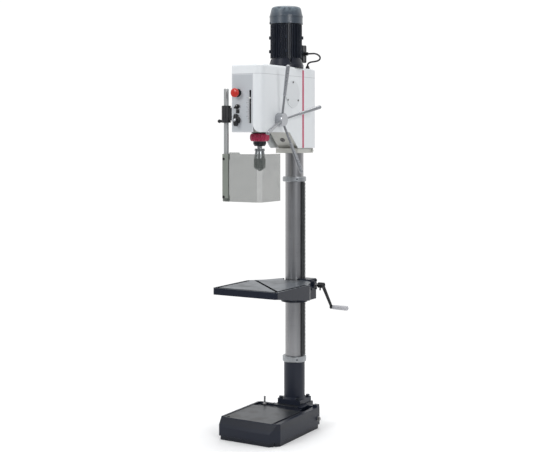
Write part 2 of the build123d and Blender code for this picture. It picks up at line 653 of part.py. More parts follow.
def front_panel():
    y = HEAD_FRONT
    plate = block(HEAD_LEFT, PANEL_RIGHT, y, y + 3, HEAD_Z, HEAD_BAND_Z)
    plate += block(HEAD_LEFT + SHEET, HEAD_LEFT + SHEET + 2, y + 3, y + 20, HEAD_Z + 4, HEAD_BAND_Z - 4)
    plate -= rod_y(CONTROL_X, y - 1, y + 4, ESTOP_Z, 11)
    plate -= rod_y(CONTROL_X, y - 1, y + 4, ROTARY_Z, 6)
    plate -= block(CONTROL_X - 5.5, CONTROL_X + 5.5, y - 1, y + 4, BUTTON_Z - 5.5, BUTTON_Z + 5.5)
    plate -= rod_y(CONTROL_X, y - 1, y + 4, SELECTOR_Z, 8)
    plate -= block(SCALE_X - 4.5, SCALE_X + 4.5, y - 1, y + 4, *SCALE_Z)
    return plate


def scale_plate():
    """Graduated strip beside the slot, one raised line each 5 mm and a long one each 10."""
    y = HEAD_FRONT
    x0 = SCALE_X - 13
    strip = block(x0, x0 + 8, y - 0.8, y, SCALE_Z[0] + 2, SCALE_Z[1] - 2)
    for i in range(19):
        z = POINTER_Z - 5 * i
        if i % 2 == 0:
            strip += block(x0 + 2, x0 + 8, y - 1.1, y - 0.8, z - 0.5, z + 0.5)
        else:
            strip += block(x0 + 5, x0 + 8, y - 1.1, y - 0.8, z - 0.4, z + 0.4)
    return strip


def side_stripe():
    x = HEAD_RIGHT
    return block(x, x + 0.8, 190, 204, HEAD_SKIRT_Z + 1, HEAD_TOP - 11)


def hatch_screw_places():
    turns = [radians(a) for a in (90, 210, 330)]
    return [(HATCH_Y + 54 * cos(a), HATCH_Z + 54 * sin(a)) for a in turns]


def side_hatch():
    x = HEAD_RIGHT
    disc = rod_x(x, x + 1.8, HATCH_Y, HATCH_Z, 62)
    for y, z in hatch_screw_places():
        disc -= rod_x(x - 1, x + 3, y, z, 2)
    return disc


def hatch_screws():
    x = HEAD_RIGHT
    screws = []
    for y, z in hatch_screw_places():
        head = rod_x(x + 1.8, x + 4, y, z, 4.2) - block(x + 3.2, x + 5, y - 3, y + 3, z - 0.6, z + 0.6)
        screws.append(head + rod_x(x - 6, x + 1.8, y, z, 2))
    return Compound(screws)


def mains_gland():
    z = 1340
    y = HEAD_REAR
    nut = Pos(-20, y, z) * Rot(-90, 0, 0) * extrude(RegularPolygon(13, 6), 7)
    body = nut + rod_y(-20, y - 12, y, z, 9) + rod_y(-20, y + 7, y + 20, z, 10)
    return body - rod_y(-20, y - 13, y + 21, z, 4.5)


# ---- Quill, spindle and chuck --------------------------------------------------------
def spindle_collar():
    body = rod_z(0, SPINDLE_Y, COLLAR_LIP_Z, HEAD_Z, 36)
    body += rod_z(0, SPINDLE_Y, QUILL_BOTTOM + 1, HEAD_Z, 31)
    return body - rod_z(0, SPINDLE_Y, QUILL_BOTTOM, HEAD_Z + 1, QUILL_R + RUN)


def stop_ring():
    z0 = QUILL_BOTTOM + 1
    z1 = COLLAR_LIP_Z - GAP
    slope = 9.0
    body = rod_z(0, SPINDLE_Y, z0 + slope, z1 - slope, RING_GRIP_R)
    body += cone_z(0, SPINDLE_Y, z0, z0 + slope, RING_GRIP_R - 7, RING_GRIP_R)
    body += cone_z(0, SPINDLE_Y, z1 - slope, z1, RING_GRIP_R, RING_GRIP_R - 7)
    for i in range(16):
        a = 2 * pi * i / 16
        x = (RING_GRIP_R + 2.2) * cos(a)
        y = SPINDLE_Y + (RING_GRIP_R + 2.2) * sin(a)
        body -= rod_z(x, y, z0 - 1, z1 + 1, 4.5)
    return body - rod_z(0, SPINDLE_Y, z0 - 1, z1 + 1, 31 + RUN)


def quill():
    body = tube_z(0, SPINDLE_Y, QUILL_BOTTOM, QUILL_TOP, QUILL_R, 20)
    pitch = pi * GEAR_M
    first = -2
    last = int((QUILL_TOP - FEED_Z) / pitch) - 1
    phase = FEED_Z + pitch / 2
    teeth = [(SPINDLE_Y + QUILL_RACK + u, z) for u, z in rack_teeth(first, last, 1.25 * GEAR_M, phase)]
    y = SPINDLE_Y + QUILL_R + 2
    low = teeth[0][1] - 1
    high = QUILL_TOP + 1
    root = SPINDLE_Y + QUILL_RACK - 1.25 * GEAR_M
    gullets = [(y, low), (root, low)] + teeth + [(root, high), (y, high)]
    return body - prism_x(gullets, -9, 9)


def quill_nose():
    z = QUILL_BOTTOM
    body = rod_z(0, SPINDLE_Y, z - 10, z, 29) + cone_z(0, SPINDLE_Y, z - 20, z - 10, 23, 29)
    return body - rod_z(0, SPINDLE_Y, z - 21, z + 1, 16)


def quill_bearings():
    low = bearing_z(SPINDLE_Y, QUILL_BOTTOM + 4, QUILL_BOTTOM + 20, 20, 14)
    high = bearing_z(SPINDLE_Y, QUILL_TOP - 20, QUILL_TOP - 6, 20, 14)
    return Compound([low, high])


def depth_pointer():
    y = HEAD_FRONT
    z = POINTER_Z
    arm = block(SCALE_X - 3, SCALE_X + 3, y - 3, SPINDLE_Y - 20, z - 2, z + 2)
    arm -= rod_z(0, SPINDLE_Y, z - 3, z + 3, QUILL_R)
    return arm + block(SCALE_X - 4, SCALE_X + 4, y - 5, y - 2, z - 3, z + 3)


def spindle():
    body = rod_z(0, SPINDLE_Y, QUILL_BOTTOM - 20, QUILL_TOP + 2, 14)
    body += rod_z(0, SPINDLE_Y, CHUCK_TOP, QUILL_BOTTOM - 20, 11)
    shank = rod_z(0, SPINDLE_Y, QUILL_TOP + 2, 1640, 12)
    return body + (shank & block(-15, 15, SPINDLE_Y - 10, SPINDLE_Y + 10, 1500, 1650))


def drive_sleeve():
    body = rod_z(0, SPINDLE_Y, QUILL_TOP + 7, ROOF_Z[1], 17)
    body += Pos(0, SPINDLE_Y, LEVEL_1) * Rot(0, 0, 90) * involute_gear(SPINDLE_TEETH, GEAR_W)
    bore = rod_z(0, SPINDLE_Y, QUILL_TOP, ROOF_Z[1] + 1, 12 + RUN)
    bore &= block(-15, 15, SPINDLE_Y - 10 - RUN, SPINDLE_Y + 10 + RUN, 1500, 1650)
    return body - bore


def layshaft(y, big, big_z, small, small_z, turn_big, turn_small):
    body = rod_z(0, y, DECK_Z[0], ROOF_Z[1], LAY_R)
    body += Pos(0, y, big_z) * Rot(0, 0, turn_big) * involute_gear(big, GEAR_W)
    body += Pos(0, y, small_z) * Rot(0, 0, turn_small) * involute_gear(small, GEAR_W)
    return body


def second_layshaft():
    return layshaft(LAY2_Y, LAY2_BIG, LEVEL_2, LAY2_SMALL, LEVEL_1,
                    90, 270 + 180 / LAY2_SMALL)


def first_layshaft():
    return layshaft(LAY1_Y, LAY1_BIG, LEVEL_3, LAY1_SMALL, LEVEL_2,
                    90, 270 + 180 / LAY1_SMALL)


JAW_TILT = radians(15)
JAW_START = 4.25            # jaw axis to spindle axis at the lower end
JAW_R = 3.5
JAW_L = 38.0


def jaw_bar(angle, low, high, r):
    """A bar along one jaw's line, from distance low to high above the jaw's end."""
    a = radians(angle)
    ux = sin(JAW_TILT)
    points = []
    for s in (low, high):
        rad = JAW_START + ux * s
        points.append((rad * cos(a), SPINDLE_Y + rad * sin(a), CHUCK_BOTTOM - 4 + cos(JAW_TILT) * s))
    return between(points[0], points[1], r, r)


def chuck_jaw(angle):
    return jaw_bar(angle, 0, JAW_L, JAW_R)


def chuck_body():
    z = CHUCK_TOP
    body = rod_z(0, SPINDLE_Y, z - 11, z, 22.5)
    body += cone_z(0, SPINDLE_Y, z - 44, z - 11, 25, 20)
    body += rod_z(0, SPINDLE_Y, CHUCK_BOTTOM + 6, z - 44, 22)
    body += cone_z(0, SPINDLE_Y, CHUCK_BOTTOM, CHUCK_BOTTOM + 6, 13, 22)
    for angle in (30, 150, 270):
        body -= jaw_bar(angle, -2, JAW_L + 18, JAW_R + RUN)
    return body


def chuck_sleeve():
    z0 = CHUCK_BOTTOM + 8
    z1 = CHUCK_TOP - 44 - GAP
    body = rod_z(0, SPINDLE_Y, z0 + 5, z1, 26) + cone_z(0, SPINDLE_Y, z0, z0 + 5, 23.5, 26)
    for i in range(24):
        a = 2 * pi * i / 24
        body -= rod_z(26.6 * cos(a), SPINDLE_Y + 26.6 * sin(a), z0 + 8, z1 - 4, 1.6)
    return body - rod_z(0, SPINDLE_Y, z0 - 1, z1 + 1, 22 + RUN)


# ---- Capstan -------------------------------------------------------------------------
def feed_pinion():
    gear = Rot(0, 90, 0) * involute_gear(FEED_TEETH, 16)
    gear = Pos(-8, FEED_Y, FEED_Z) * gear
    return gear + rod_x(-62, CAPSTAN_X[0] + 20, FEED_Y, FEED_Z, 9)


def capstan_hub():
    x0, x1 = CAPSTAN_X
    body = rod_x(x0 + 0.5, x1, FEED_Y, FEED_Z, CAPSTAN_R)
    body = chamfer(body.edges().filter_by(GeomType.CIRCLE).sort_by(Axis.X)[-1], 3)
    body -= rod_x(x0, x0 + 20, FEED_Y, FEED_Z, 9)
    for i in range(4):
        body -= spoke_bar(i, 12, 34, 5)
    return body


def spoke_bar(i, s0, s1, r0, r1=None):
    """A round bar on the line of spoke i, between two distances from the hub's centre."""
    a = radians(SPOKE_TURN + 90 * i)
    c = radians(SPOKE_CONE)
    x = CAPSTAN_X[1] - 15
    ends = []
    for s in (s0, s1):
        ends.append((x + s * sin(c), FEED_Y + s * cos(c) * cos(a), FEED_Z + s * cos(c) * sin(a)))
    return between(ends[0], ends[1], r0, r0 if r1 is None else r1)


def capstan_spokes():
    return Compound([spoke_bar(i, 12, 150, 5) for i in range(4)])


def capstan_grips():
    grips = []
    for i in range(4):
        grip = spoke_bar(i, 110, SPOKE_L - 6, 6.5, 9) + spoke_bar(i, SPOKE_L - 6, SPOKE_L, 9, 6)
        grips.append(grip - spoke_bar(i, 105, 150, 5))
    return Compound(grips)


# ---- Motor ---------------------------------------------------------------------------
def motor_flange():
    z0 = HEAD_TOP
    z1 = MOTOR_Z[0]
    body = rod_z(0, MOTOR_Y, z0, z0 + 14, 80) + cone_z(0, MOTOR_Y, z0 + 14, z1, 78, 70)
    body += rod_z(0, MOTOR_Y, z0 - 6, z0, 40)
    body -= rod_z(0, MOTOR_Y, z0 - 7, z1 - 16, 24)
    body -= rod_z(0, MOTOR_Y, z0 - 7, z1 + 1, 20)
    for x, y in top_screw_places():
        body -= rod_z(x, y, z0 - 1, z1, 4)
        body -= rod_z(x, y, z0 + 14, z1 + 1, 8.5)
    return body - block(-53, 53, BOX_Y - 1, BOX_Y + 40, BOX_Z[0] - 2, z1 + 1)


def flange_screws():
    screws = []
    for x, y in top_screw_places():
        z = HEAD_TOP
        head = rod_z(x, y, z + 14, z + 22, 6.5) - hex_z(x, y, z + 18, z + 23, 6)
        screws.append(head + rod_z(x, y, z - 9, z + 14, 4))
    return Compound(screws)


def motor_body():
    z0, z1 = MOTOR_Z
    body = tube_z(0, MOTOR_Y, z0, z1, 65, 56)
    fins = []
    fin = Pos(67.5, 0, 0) * Box(11, 2, z1 - z0 - 8)
    for i in range(48):
        a = 360 / 48 * i
        if not 62 < a < 118:
            fins.append(Pos(0, MOTOR_Y, (z0 + z1) / 2) * Rot(0, 0, a) * fin)
    body = body.fuse(*fins)
    for a in (30, 210, 300):
        for z in (1725.0, 1788.0):
            body += Pos(0, MOTOR_Y, z) * Rot(0, 0, a) * Pos(70, 0, 0) * Box(18, 12, 14)
    body += block(-44, 44, MOTOR_Y + 50, MOTOR_Y + 68, z0 + 2, BOX_Z[1] - 6)
    body -= rod_z(0, MOTOR_Y, z0 - 1, z1 + 1, 56)
    return body


def motor_stator():
    z0, z1 = MOTOR_Z
    return tube_z(0, MOTOR_Y, z0 + 18, z1 - 18, 56, 43)


def motor_shield():
    """End shield at the fan end, round the upper bearing."""
    z1 = MOTOR_Z[1]
    return tube_z(0, MOTOR_Y, z1, z1 + 8, 72, 20) + tube_z(0, MOTOR_Y, z1 - 8, z1, 56, 20)


def motor_bearings():
    z0, z1 = MOTOR_Z
    return Compound([bearing_z(MOTOR_Y, z0 - 16, z0, 20, 9), bearing_z(MOTOR_Y, z1 - 8, z1 + 8, 20, 9)])


def motor_rotor():
    z0, z1 = MOTOR_Z
    return rod_z(0, MOTOR_Y, LEVEL_3 - 3, 1893, 9) + rod_z(0, MOTOR_Y, z0 + 22, z1 - 22, 42)


def motor_pinion():
    gear = Rot(0, 0, 270 + 180 / MOTOR_TEETH) * involute_gear(MOTOR_TEETH, GEAR_W)
    gear = Pos(0, MOTOR_Y, LEVEL_3) * gear
    return gear - rod_z(0, MOTOR_Y, LEVEL_3 - 1, LEVEL_3 + GEAR_W + 1, 9)


def motor_fan():
    z = 1866.0
    body = rod_z(0, MOTOR_Y, z, z + 4, 60) + rod_z(0, MOTOR_Y, z, z + 22, 18)
    for i in range(8):
        body += Pos(0, MOTOR_Y, z + 13) * Rot(0, 0, 45 * i) * Pos(38, 0, 0) * Box(44, 3, 18)
    return body - rod_z(0, MOTOR_Y, z - 1, z + 23, 9)


def motor_cowl():
    z0 = MOTOR_Z[1]
    bend = 1888.0
    body = rod_z(0, MOTOR_Y, z0, bend, COWL_R) + cone_z(0, MOTOR_Y, bend, COWL_TOP, COWL_R, 66)
    body = fillet(body.edges().filter_by(GeomType.CIRCLE).sort_by(Axis.Z)[-1], 14)
    body += rod_z(0, MOTOR_Y, bend - 6, bend, COWL_R + 1.2)
    inner = rod_z(0, MOTOR_Y, z0 - 1, bend, COWL_R - 2.5)
    inner += cone_z(0, MOTOR_Y, bend, COWL_TOP - 3, COWL_R - 2.5, 60)
    body -= inner
    for r in (14, 24, 34, 44):
        slots = tube_z(0, MOTOR_Y, COWL_TOP - 8, COWL_TOP + 1, r + 3, r - 3)
        for i in range(4):
            slots -= Pos(0, MOTOR_Y, COWL_TOP) * Rot(0, 0, 45 + 90 * i) * Pos(30, 0, 0) * Box(60, 5, 20)
        body -= slots
    for a in (45, 135, 225, 315):
        body -= cowl_bar(a, COWL_R - 6, COWL_R + 1, 2)
    return body


def cowl_bar(a, r0, r1, r):
    c = cos(radians(a))
    s = sin(radians(a))
    z = MOTOR_Z[1] + 4
    return between((r0 * c, MOTOR_Y + r0 * s, z), (r1 * c, MOTOR_Y + r1 * s, z), r, r)


def cowl_screws():
    return Compound([cowl_bar(a, COWL_R - 3.9, COWL_R, 2) + cowl_bar(a, COWL_R, COWL_R + 3, 4)
                     for a in (45, 135, 225, 315)])


BOX_Y = MOTOR_Y + 68
BOX_Z = (1678.0, 1758.0)
GLAND_Y = COLUMN_Y + 6
GLAND_Z = 1718.0
TOP_GLAND = (48.0, COLUMN_Y + 40)
GLAND_H = 14.0


def terminal_box():
    box = block(-50, 50, BOX_Y, BOX_Y + 28, *BOX_Z)
    box = fillet(box.edges().filter_by(Axis.Y), 5)
    box -= block(-45, 45, BOX_Y + 5, BOX_Y + 29, BOX_Z[0] + 5, BOX_Z[1] - 5)
    return box - rod_x(44, 51, GLAND_Y, GLAND_Z, 7)


def terminal_lid():
    y = BOX_Y + 28
    lid = block(-51, 51, y, y + 5, BOX_Z[0] - 1, BOX_Z[1] + 1)
    lid = fillet(lid.edges().filter_by(Axis.Y), 6)
    for x in (-42, 42):
        for z in (BOX_Z[0] + 8, BOX_Z[1] - 8):
            lid += rod_y(x, y + 5, y + 7.5, z, 4)
    return lid


def motor_gland():
    x = 50.0
    nut = Pos(x, GLAND_Y, GLAND_Z) * Rot(0, 90, 0) * extrude(RegularPolygon(11, 6), 6)
    body = nut + rod_x(x - 8, x, GLAND_Y, GLAND_Z, 7) + rod_x(x + 6, x + 18, GLAND_Y, GLAND_Z, 8)
    return body - rod_x(x - 9, x + 19, GLAND_Y, GLAND_Z, CORD_D / 2)


def head_gland():
    x, y = TOP_GLAND
    z = HEAD_TOP
    body = hex_z(x, y, z, z + 6, 19) + rod_z(x, y, z - 5, z, 8) + cone_z(x, y, z + 6, z + GLAND_H, 9, 7)
    return body - rod_z(x, y, z - 6, z + GLAND_H + 1, CORD_D / 2)


def cord_route():
    """Motor lead: out of the terminal box, one open loop, down into the head."""
    x, y = TOP_GLAND
    g = GLAND_Y
    z = GLAND_Z
    return [(68, g, z), (84, g, z), (103, g + 3, z + 0.5), (118, g + 7, z - 5), (127, g + 12, z - 16),
            (122, g + 18, z - 27), (107, g + 24, z - 33), (87, g + 29, z - 35), (69, y - 1, z - 36),
            (57, y, z - 38.5), (50, y, z - 44), (x, y, HEAD_TOP + GLAND_H + 4), (x, y, HEAD_TOP + GLAND_H)]


def motor_cable():
    points = [Vector(*p) for p in cord_route()]
    radii = []
    for i in range(1, len(points) - 1):
        a = points[i] - points[i - 1]
        b = points[i + 1] - points[i]
        half = radians(a.get_angle(b)) / 2
        radii.append(0.45 * min(a.length, b.length) / tan(half))
    print("motor_cable radii", [round(r, 1) for r in radii])
    path = FilletPolyline(*points, radius=radii)
    plane = Plane(origin=path @ 0, z_dir=path % 0)
    tube = sweep(plane * Circle(CORD_D / 2), path)
    print("motor_cable length", round(path.length, 1), "volume ratio",
          round(tube.volume / (pi * CORD_D ** 2 / 4 * path.length), 4))
    return tube


# ---- Guard ---------------------------------------------------------------------------
def guard_bracket():
    """Split sleeve on the head's left side that carries the guard rod."""
    body = rod_z(GUARD_X, GUARD_Y, 1395, 1470, 20.5)
    body += block(GUARD_X, HEAD_LEFT, GUARD_Y - 9, GUARD_Y + 14, 1405, 1460)
    body += block(HEAD_LEFT - 5, HEAD_LEFT, GUARD_Y - 9, GUARD_Y + 40, 1400, 1465)
    body -= rod_z(GUARD_X, GUARD_Y, 1394, 1471, GUARD_ROD_R + RUN)
    return body - rod_x(GUARD_X - 25, GUARD_X, GUARD_Y, 1402, 4 + RUN)


def guard_rod():
    rod = rod_z(GUARD_X, GUARD_Y, SHIELD_Z[0], GUARD_ROD_TOP, GUARD_ROD_R)
    return chamfer(rod.edges().filter_by(GeomType.CIRCLE), 2)


def shield_screw_z():
    return (SHIELD_Z[0] + 20, SHIELD_Z[1] - 22)


def guard_shield():
    """Bent polycarbonate sheet: front wall, bend, right wall, with a raised tab at the left."""
    t = SHIELD_T
    y = SHIELD_Y
    x0 = GUARD_X - 8
    b = 20.0
    k = t * tan(radians(22.5))
    plan = [(x0, y), (SHIELD_X - b, y), (SHIELD_X, y + b), (SHIELD_X, y + 170), (SHIELD_X - t, y + 170),
            (SHIELD_X - t, y + b + k), (SHIELD_X - b - k, y + t), (x0, y + t)]
    body = prism_z(plan, SHIELD_Z[0], SHIELD_Z[1])
    body += block(x0 + 34, x0 + 90, y, y + t, SHIELD_Z[1], SHIELD_Z[1] + 7)
    corner = [(x0 - 1, SHIELD_Z[0] - 1), (x0 + 14, SHIELD_Z[0] - 1), (x0 - 1, SHIELD_Z[0] + 14)]
    body -= prism_y(corner, y - 1, y + t + 1)
    for z in shield_screw_z():
        body -= rod_y(GUARD_X, y - 1, y + t + 1, z, 3)
    return body


def guard_strips():
    """Strip in front of the shield, and the one behind it with its two collars on the rod."""
    y = SHIELD_Y
    front = block(GUARD_X - 7, GUARD_X + 23, y - 2, y, SHIELD_Z[0] + 14, SHIELD_Z[1])
    back = block(GUARD_X - 7, GUARD_X + 23, y + SHIELD_T, y + 7, SHIELD_Z[0], SHIELD_Z[1])
    for z in (SHIELD_Z[0] + 2, SHIELD_Z[1] - 26):
        back += rod_z(GUARD_X, GUARD_Y, z, z + 24, 16)
        back -= rod_z(GUARD_X, GUARD_Y, z - 1, z + 25, GUARD_ROD_R + RUN)
    for z in shield_screw_z():
        front -= rod_y(GUARD_X, y - 3, y + 1, z, 3)
        back -= rod_y(GUARD_X, y + 2, y + 8, z, 3)
    return group(front, back)


def guard_screws():
    y = SHIELD_Y
    screws = []
    for z in shield_screw_z():
        head = rod_y(GUARD_X, y - 5, y - 2, z, 5.5) - rod_y(GUARD_X, y - 6, y - 4, z, 2.6)
        screws.append(head + rod_y(GUARD_X, y - 2, y + 6.5, z, 3))
    return Compound(screws)


def guard_knob():
    """Ball-ended clamp screw that holds the guard rod in its bracket, turned in one piece."""
    ball_r = 8.5
    neck_r = 6.0
    screw_r = 4.0
    ball_x = GUARD_X - 36
    neck_end = GUARD_X - 21.2
    tip = GUARD_X - GUARD_ROD_R - 0.3
    neck_start = (ball_x + sqrt(ball_r ** 2 - neck_r ** 2), neck_r)
    edge = ThreePointArc((ball_x - ball_r, 0), (ball_x, ball_r), neck_start)
    edge += Polyline(neck_start, (neck_end, neck_r), (neck_end, screw_r), (tip, screw_r), (tip, 0),
                     (ball_x - ball_r, 0))
    return Pos(0, GUARD_Y, 1402) * revolve(make_face(edge), Axis.X)


# ---- Controls ------------------------------------------------------------------------
def estop_base():
    y = HEAD_FRONT
    body = rod_y(CONTROL_X, y - 4, y, ESTOP_Z, 18) + rod_y(CONTROL_X, y - 12, y - 4, ESTOP_Z, 14)
    body += rod_y(CONTROL_X, y, y + 30, ESTOP_Z, 11)
    return body - rod_y(CONTROL_X, y - 13, y + 10, ESTOP_Z, 7 + RUN)


def estop_button():
    y = HEAD_FRONT
    head = rod_y(CONTROL_X, y - 34, y - 20, ESTOP_Z, 20)
    head = fillet(head.edges().filter_by(GeomType.CIRCLE).sort_by(Axis.Y)[0], 6)
    return head + rod_y(CONTROL_X, y - 20, y, ESTOP_Z, 7)


def rotary_plate():
    y = HEAD_FRONT
    body = rod_y(CONTROL_X, y - 3, y, ROTARY_Z, 15) + rod_y(CONTROL_X, y, y + 30, ROTARY_Z, 6)
    return body - rod_y(CONTROL_X, y - 4, y + 12, ROTARY_Z, 4 + RUN)


def rotary_switch():
    y = HEAD_FRONT
    lean = Pos(CONTROL_X, 0, ROTARY_Z) * Rot(0, -36, 0) * Pos(-CONTROL_X, 0, -ROTARY_Z)
    bar = block(CONTROL_X - 13, CONTROL_X + 13, y - 18, y - 6, ROTARY_Z - 4, ROTARY_Z + 4)
    bar = fillet(bar.edges().filter_by(Axis.Y), 3.5)
    return rod_y(CONTROL_X, y - 6, y - 3.3, ROTARY_Z, 11) + lean * bar + rod_y(
        CONTROL_X, y - 4, y + 10, ROTARY_Z, 4)


def start_frame():
    y = HEAD_FRONT
    body = block(CONTROL_X - 8, CONTROL_X + 8, y - 2, y, BUTTON_Z - 8, BUTTON_Z + 8)
    body += block(CONTROL_X - 5.5, CONTROL_X + 5.5, y, y + 20, BUTTON_Z - 5.5, BUTTON_Z + 5.5)
    return body - block(CONTROL_X - 4.5, CONTROL_X + 4.5, y - 3, y + 12, BUTTON_Z - 4.5, BUTTON_Z + 4.5)


def start_button():
    y = HEAD_FRONT
    return block(CONTROL_X - 4.4, CONTROL_X + 4.4, y - 5, y + 6, BUTTON_Z - 4.4, BUTTON_Z + 4.4)


def selector_plate():
    y = HEAD_FRONT
    body = rod_y(CONTROL_X, y - 4, y, SELECTOR_Z, 20) + rod_y(CONTROL_X, y, y + 20, SELECTOR_Z, 8)
    return body - rod_y(CONTROL_X, y - 5, y + 12, SELECTOR_Z, 5 + RUN)


def gear_selector():
    y = HEAD_FRONT
    z = SELECTOR_Z
    grip = block(CONTROL_X - 9, CONTROL_X + 9, y - 28, y - 10, z - 27, z + 27)
    grip = fillet(grip.edges().filter_by(Axis.Y), 8.5)
    hub = rod_y(CONTROL_X, y - 10, y - 4.3, z, 17) + rod_y(CONTROL_X, y - 5, y + 10, z, 5)
    return grip + hub


NODES = {
    # stand, column and table
    "base_casting": base_casting,
    "base_fittings": lambda: group(drain_plug(), coolant_nipple()),
    "column_flange": column_flange,
    "column_fasteners": lambda: group(flange_bolts(), ring_screws()),
    "column_tube": column_tube,
    "rack_rings": lambda: group(rack_ring(LOW_RING_Z), rack_ring(HIGH_RING_Z)),
    "column_rack": column_rack,
    "table_casting": table_casting,
    "housing_cap": lambda: group(housing_cap(), cap_screws()),
    "lift_pinion": lift_pinion,
    "crank_shaft": crank_shaft,
    "crank_arm": crank_arm,
    "crank_grip": crank_grip,
    "lock_lever": lock_lever,
    # head
    "head_casting": head_casting,
    "head_fasteners": lambda: group(clamp_screws(), hatch_screws(), casting_plug()),
    "head_cover": head_cover,
    "head_top": head_top,
    "front_panel": front_panel,
    "scale_plate": scale_plate,
    "side_stripe": side_stripe,
    "side_hatch": side_hatch,
    "cable_glands": lambda: group(mains_gland(), motor_gland(), head_gland()),
    "control_bezels": lambda: group(estop_base(), rotary_plate(), start_frame(), selector_plate()),
    "estop_button": estop_button,
    "rotary_switch": rotary_switch,
    "start_button": start_button,
    "gear_selector": gear_selector,
    # spindle line
    "spindle_collar": spindle_collar,
    "stop_ring": stop_ring,
    "quill": quill,
    "quill_nose": quill_nose,
    "quill_bearings": quill_bearings,
    "depth_pointer": depth_pointer,
    "spindle": spindle,
    "chuck_body": chuck_body,
    "chuck_sleeve": chuck_sleeve,
    "chuck_jaw_a": lambda: chuck_jaw(30),
    "chuck_jaw_b": lambda: chuck_jaw(150),
    "chuck_jaw_c": lambda: chuck_jaw(270),
    "capstan_hub": lambda: group(capstan_hub(), feed_pinion()),
    "capstan_spokes": capstan_spokes,
    "capstan_grips": capstan_grips,
    # gear train and motor
    "drive_sleeve": drive_sleeve,
    "second_layshaft": second_layshaft,
    "first_layshaft": first_layshaft,
    "shaft_bearings": lambda: group(gear_bearings(), motor_bearings()),
    "motor_rotor": lambda: group(motor_rotor(), motor_pinion(), motor_fan()),
    "motor_flange": motor_flange,
    "motor_body": motor_body,
    "motor_stator": lambda: group(motor_stator(), motor_shield()),
    "motor_cowl": motor_cowl,
    "motor_screws": lambda: group(flange_screws(), cowl_screws()),
    "terminal_box": lambda: group(terminal_box(), terminal_lid()),
    "motor_cable": motor_cable,
    # guard
    "guard_bracket": guard_bracket,
    "guard_rod": guard_rod,
    "guard_shield": guard_shield,
    "guard_clamp": lambda: group(guard_strips(), guard_screws()),
    "guard_knob": guard_knob,
}

for name, make in NODES.items():
    export_step(make(), "parts/" + name + ".step")
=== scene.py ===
import json
from math import cos, pi, radians, sin

import bmesh
import bpy
import numpy as np
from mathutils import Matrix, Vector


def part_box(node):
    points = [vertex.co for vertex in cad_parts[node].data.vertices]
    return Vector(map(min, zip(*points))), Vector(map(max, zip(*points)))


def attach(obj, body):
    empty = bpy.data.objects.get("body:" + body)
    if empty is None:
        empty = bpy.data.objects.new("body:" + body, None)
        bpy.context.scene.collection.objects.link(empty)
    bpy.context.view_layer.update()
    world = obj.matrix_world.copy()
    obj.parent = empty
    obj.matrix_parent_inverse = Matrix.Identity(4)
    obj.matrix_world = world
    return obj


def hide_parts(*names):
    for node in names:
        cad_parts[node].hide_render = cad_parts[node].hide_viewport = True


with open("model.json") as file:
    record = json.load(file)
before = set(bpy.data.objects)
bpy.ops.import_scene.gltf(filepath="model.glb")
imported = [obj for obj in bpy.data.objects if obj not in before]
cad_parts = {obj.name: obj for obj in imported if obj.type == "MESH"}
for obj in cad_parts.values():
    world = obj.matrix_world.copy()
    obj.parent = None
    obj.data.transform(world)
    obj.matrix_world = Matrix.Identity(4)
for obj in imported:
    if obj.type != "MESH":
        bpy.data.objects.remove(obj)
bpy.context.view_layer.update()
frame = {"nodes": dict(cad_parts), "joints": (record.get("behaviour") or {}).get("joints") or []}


# ---- Studio --------------------------------------------------------------------------
# The machine stands on a pale floor before a white backdrop, and the room behind the
# operator is dimmer, so that bare steel shows light and dark bands. Two soft lamps stand at
# the front, to the left and the right, and one hangs overhead.
class Wire:
    """One output socket of a node tree. Sums on it add the tree's Math nodes."""

    def __init__(self, tree, socket=None):
        self.tree = tree
        self.socket = socket

    def add(self, kind, settings, inputs, output=0):
        """A node of one kind: its settings first, then a value or a Wire for each input."""
        node = self.tree.nodes.new(kind)
        for name, value in settings.items():
            setattr(node, name, value)
        for name, value in inputs.items():
            if isinstance(value, Wire):
                self.tree.links.new(value.socket, node.inputs[name])
            else:
                node.inputs[name].default_value = value
        return Wire(self.tree, node.outputs[output])

    def math(self, operation, first, second):
        return self.add("ShaderNodeMath", {"operation": operation}, {0: first, 1: second})

    def __add__(self, other):
        return self.math("ADD", self, other)

    def __sub__(self, other):
        return self.math("SUBTRACT", self, other)

    def __rsub__(self, other):
        return self.math("SUBTRACT", other, self)

    def __mul__(self, other):
        return self.math("MULTIPLY", self, other)

    __radd__ = __add__
    __rmul__ = __mul__


def screen(red, green, blue):
    """A linear colour from its 0 to 255 screen values."""
    level = np.array([red, green, blue]) / 255
    dark = level / 12.92
    light = ((level + 0.055) / 1.055) ** 2.4
    return tuple(float(v) for v in np.where(level <= 0.04045, dark, light)) + (1.0,)


def new_finish(name):
    """A material, and the coordinates of the piece that wears it, in metres."""
    material = bpy.data.materials.new(name)
    material.use_nodes = True
    place = Wire(material.node_tree).add("ShaderNodeTexCoord", {}, {}, 3)
    return material, place


def set_finish(material, looks):
    """Gives each named socket of the material's shader its value or its Wire."""
    shader = material.node_tree.nodes["Principled BSDF"]
    for name, value in looks.items():
        if isinstance(value, Wire):
            material.node_tree.links.new(value.socket, shader.inputs[name])
        else:
            shader.inputs[name].default_value = value
    return material


def noise(place, scale, detail=2.0):
    """Random values round 0.5 in grains of about 1/scale metres."""
    return place.add("ShaderNodeTexNoise", {}, {"Vector": place, "Scale": scale, "Detail": detail})


def step(value, low, high):
    """0 below low, 1 above high, and an S-curve between them."""
    return value.add("ShaderNodeMapRange", {"interpolation_type": "SMOOTHSTEP"},
                     {"Value": value, "From Min": low, "From Max": high})


def mix(share, first, second):
    """The first colour where share is 0 and the second where it is 1."""
    return share.add("ShaderNodeMix", {"data_type": "RGBA"}, {0: share, 6: first, 7: second}, 2)


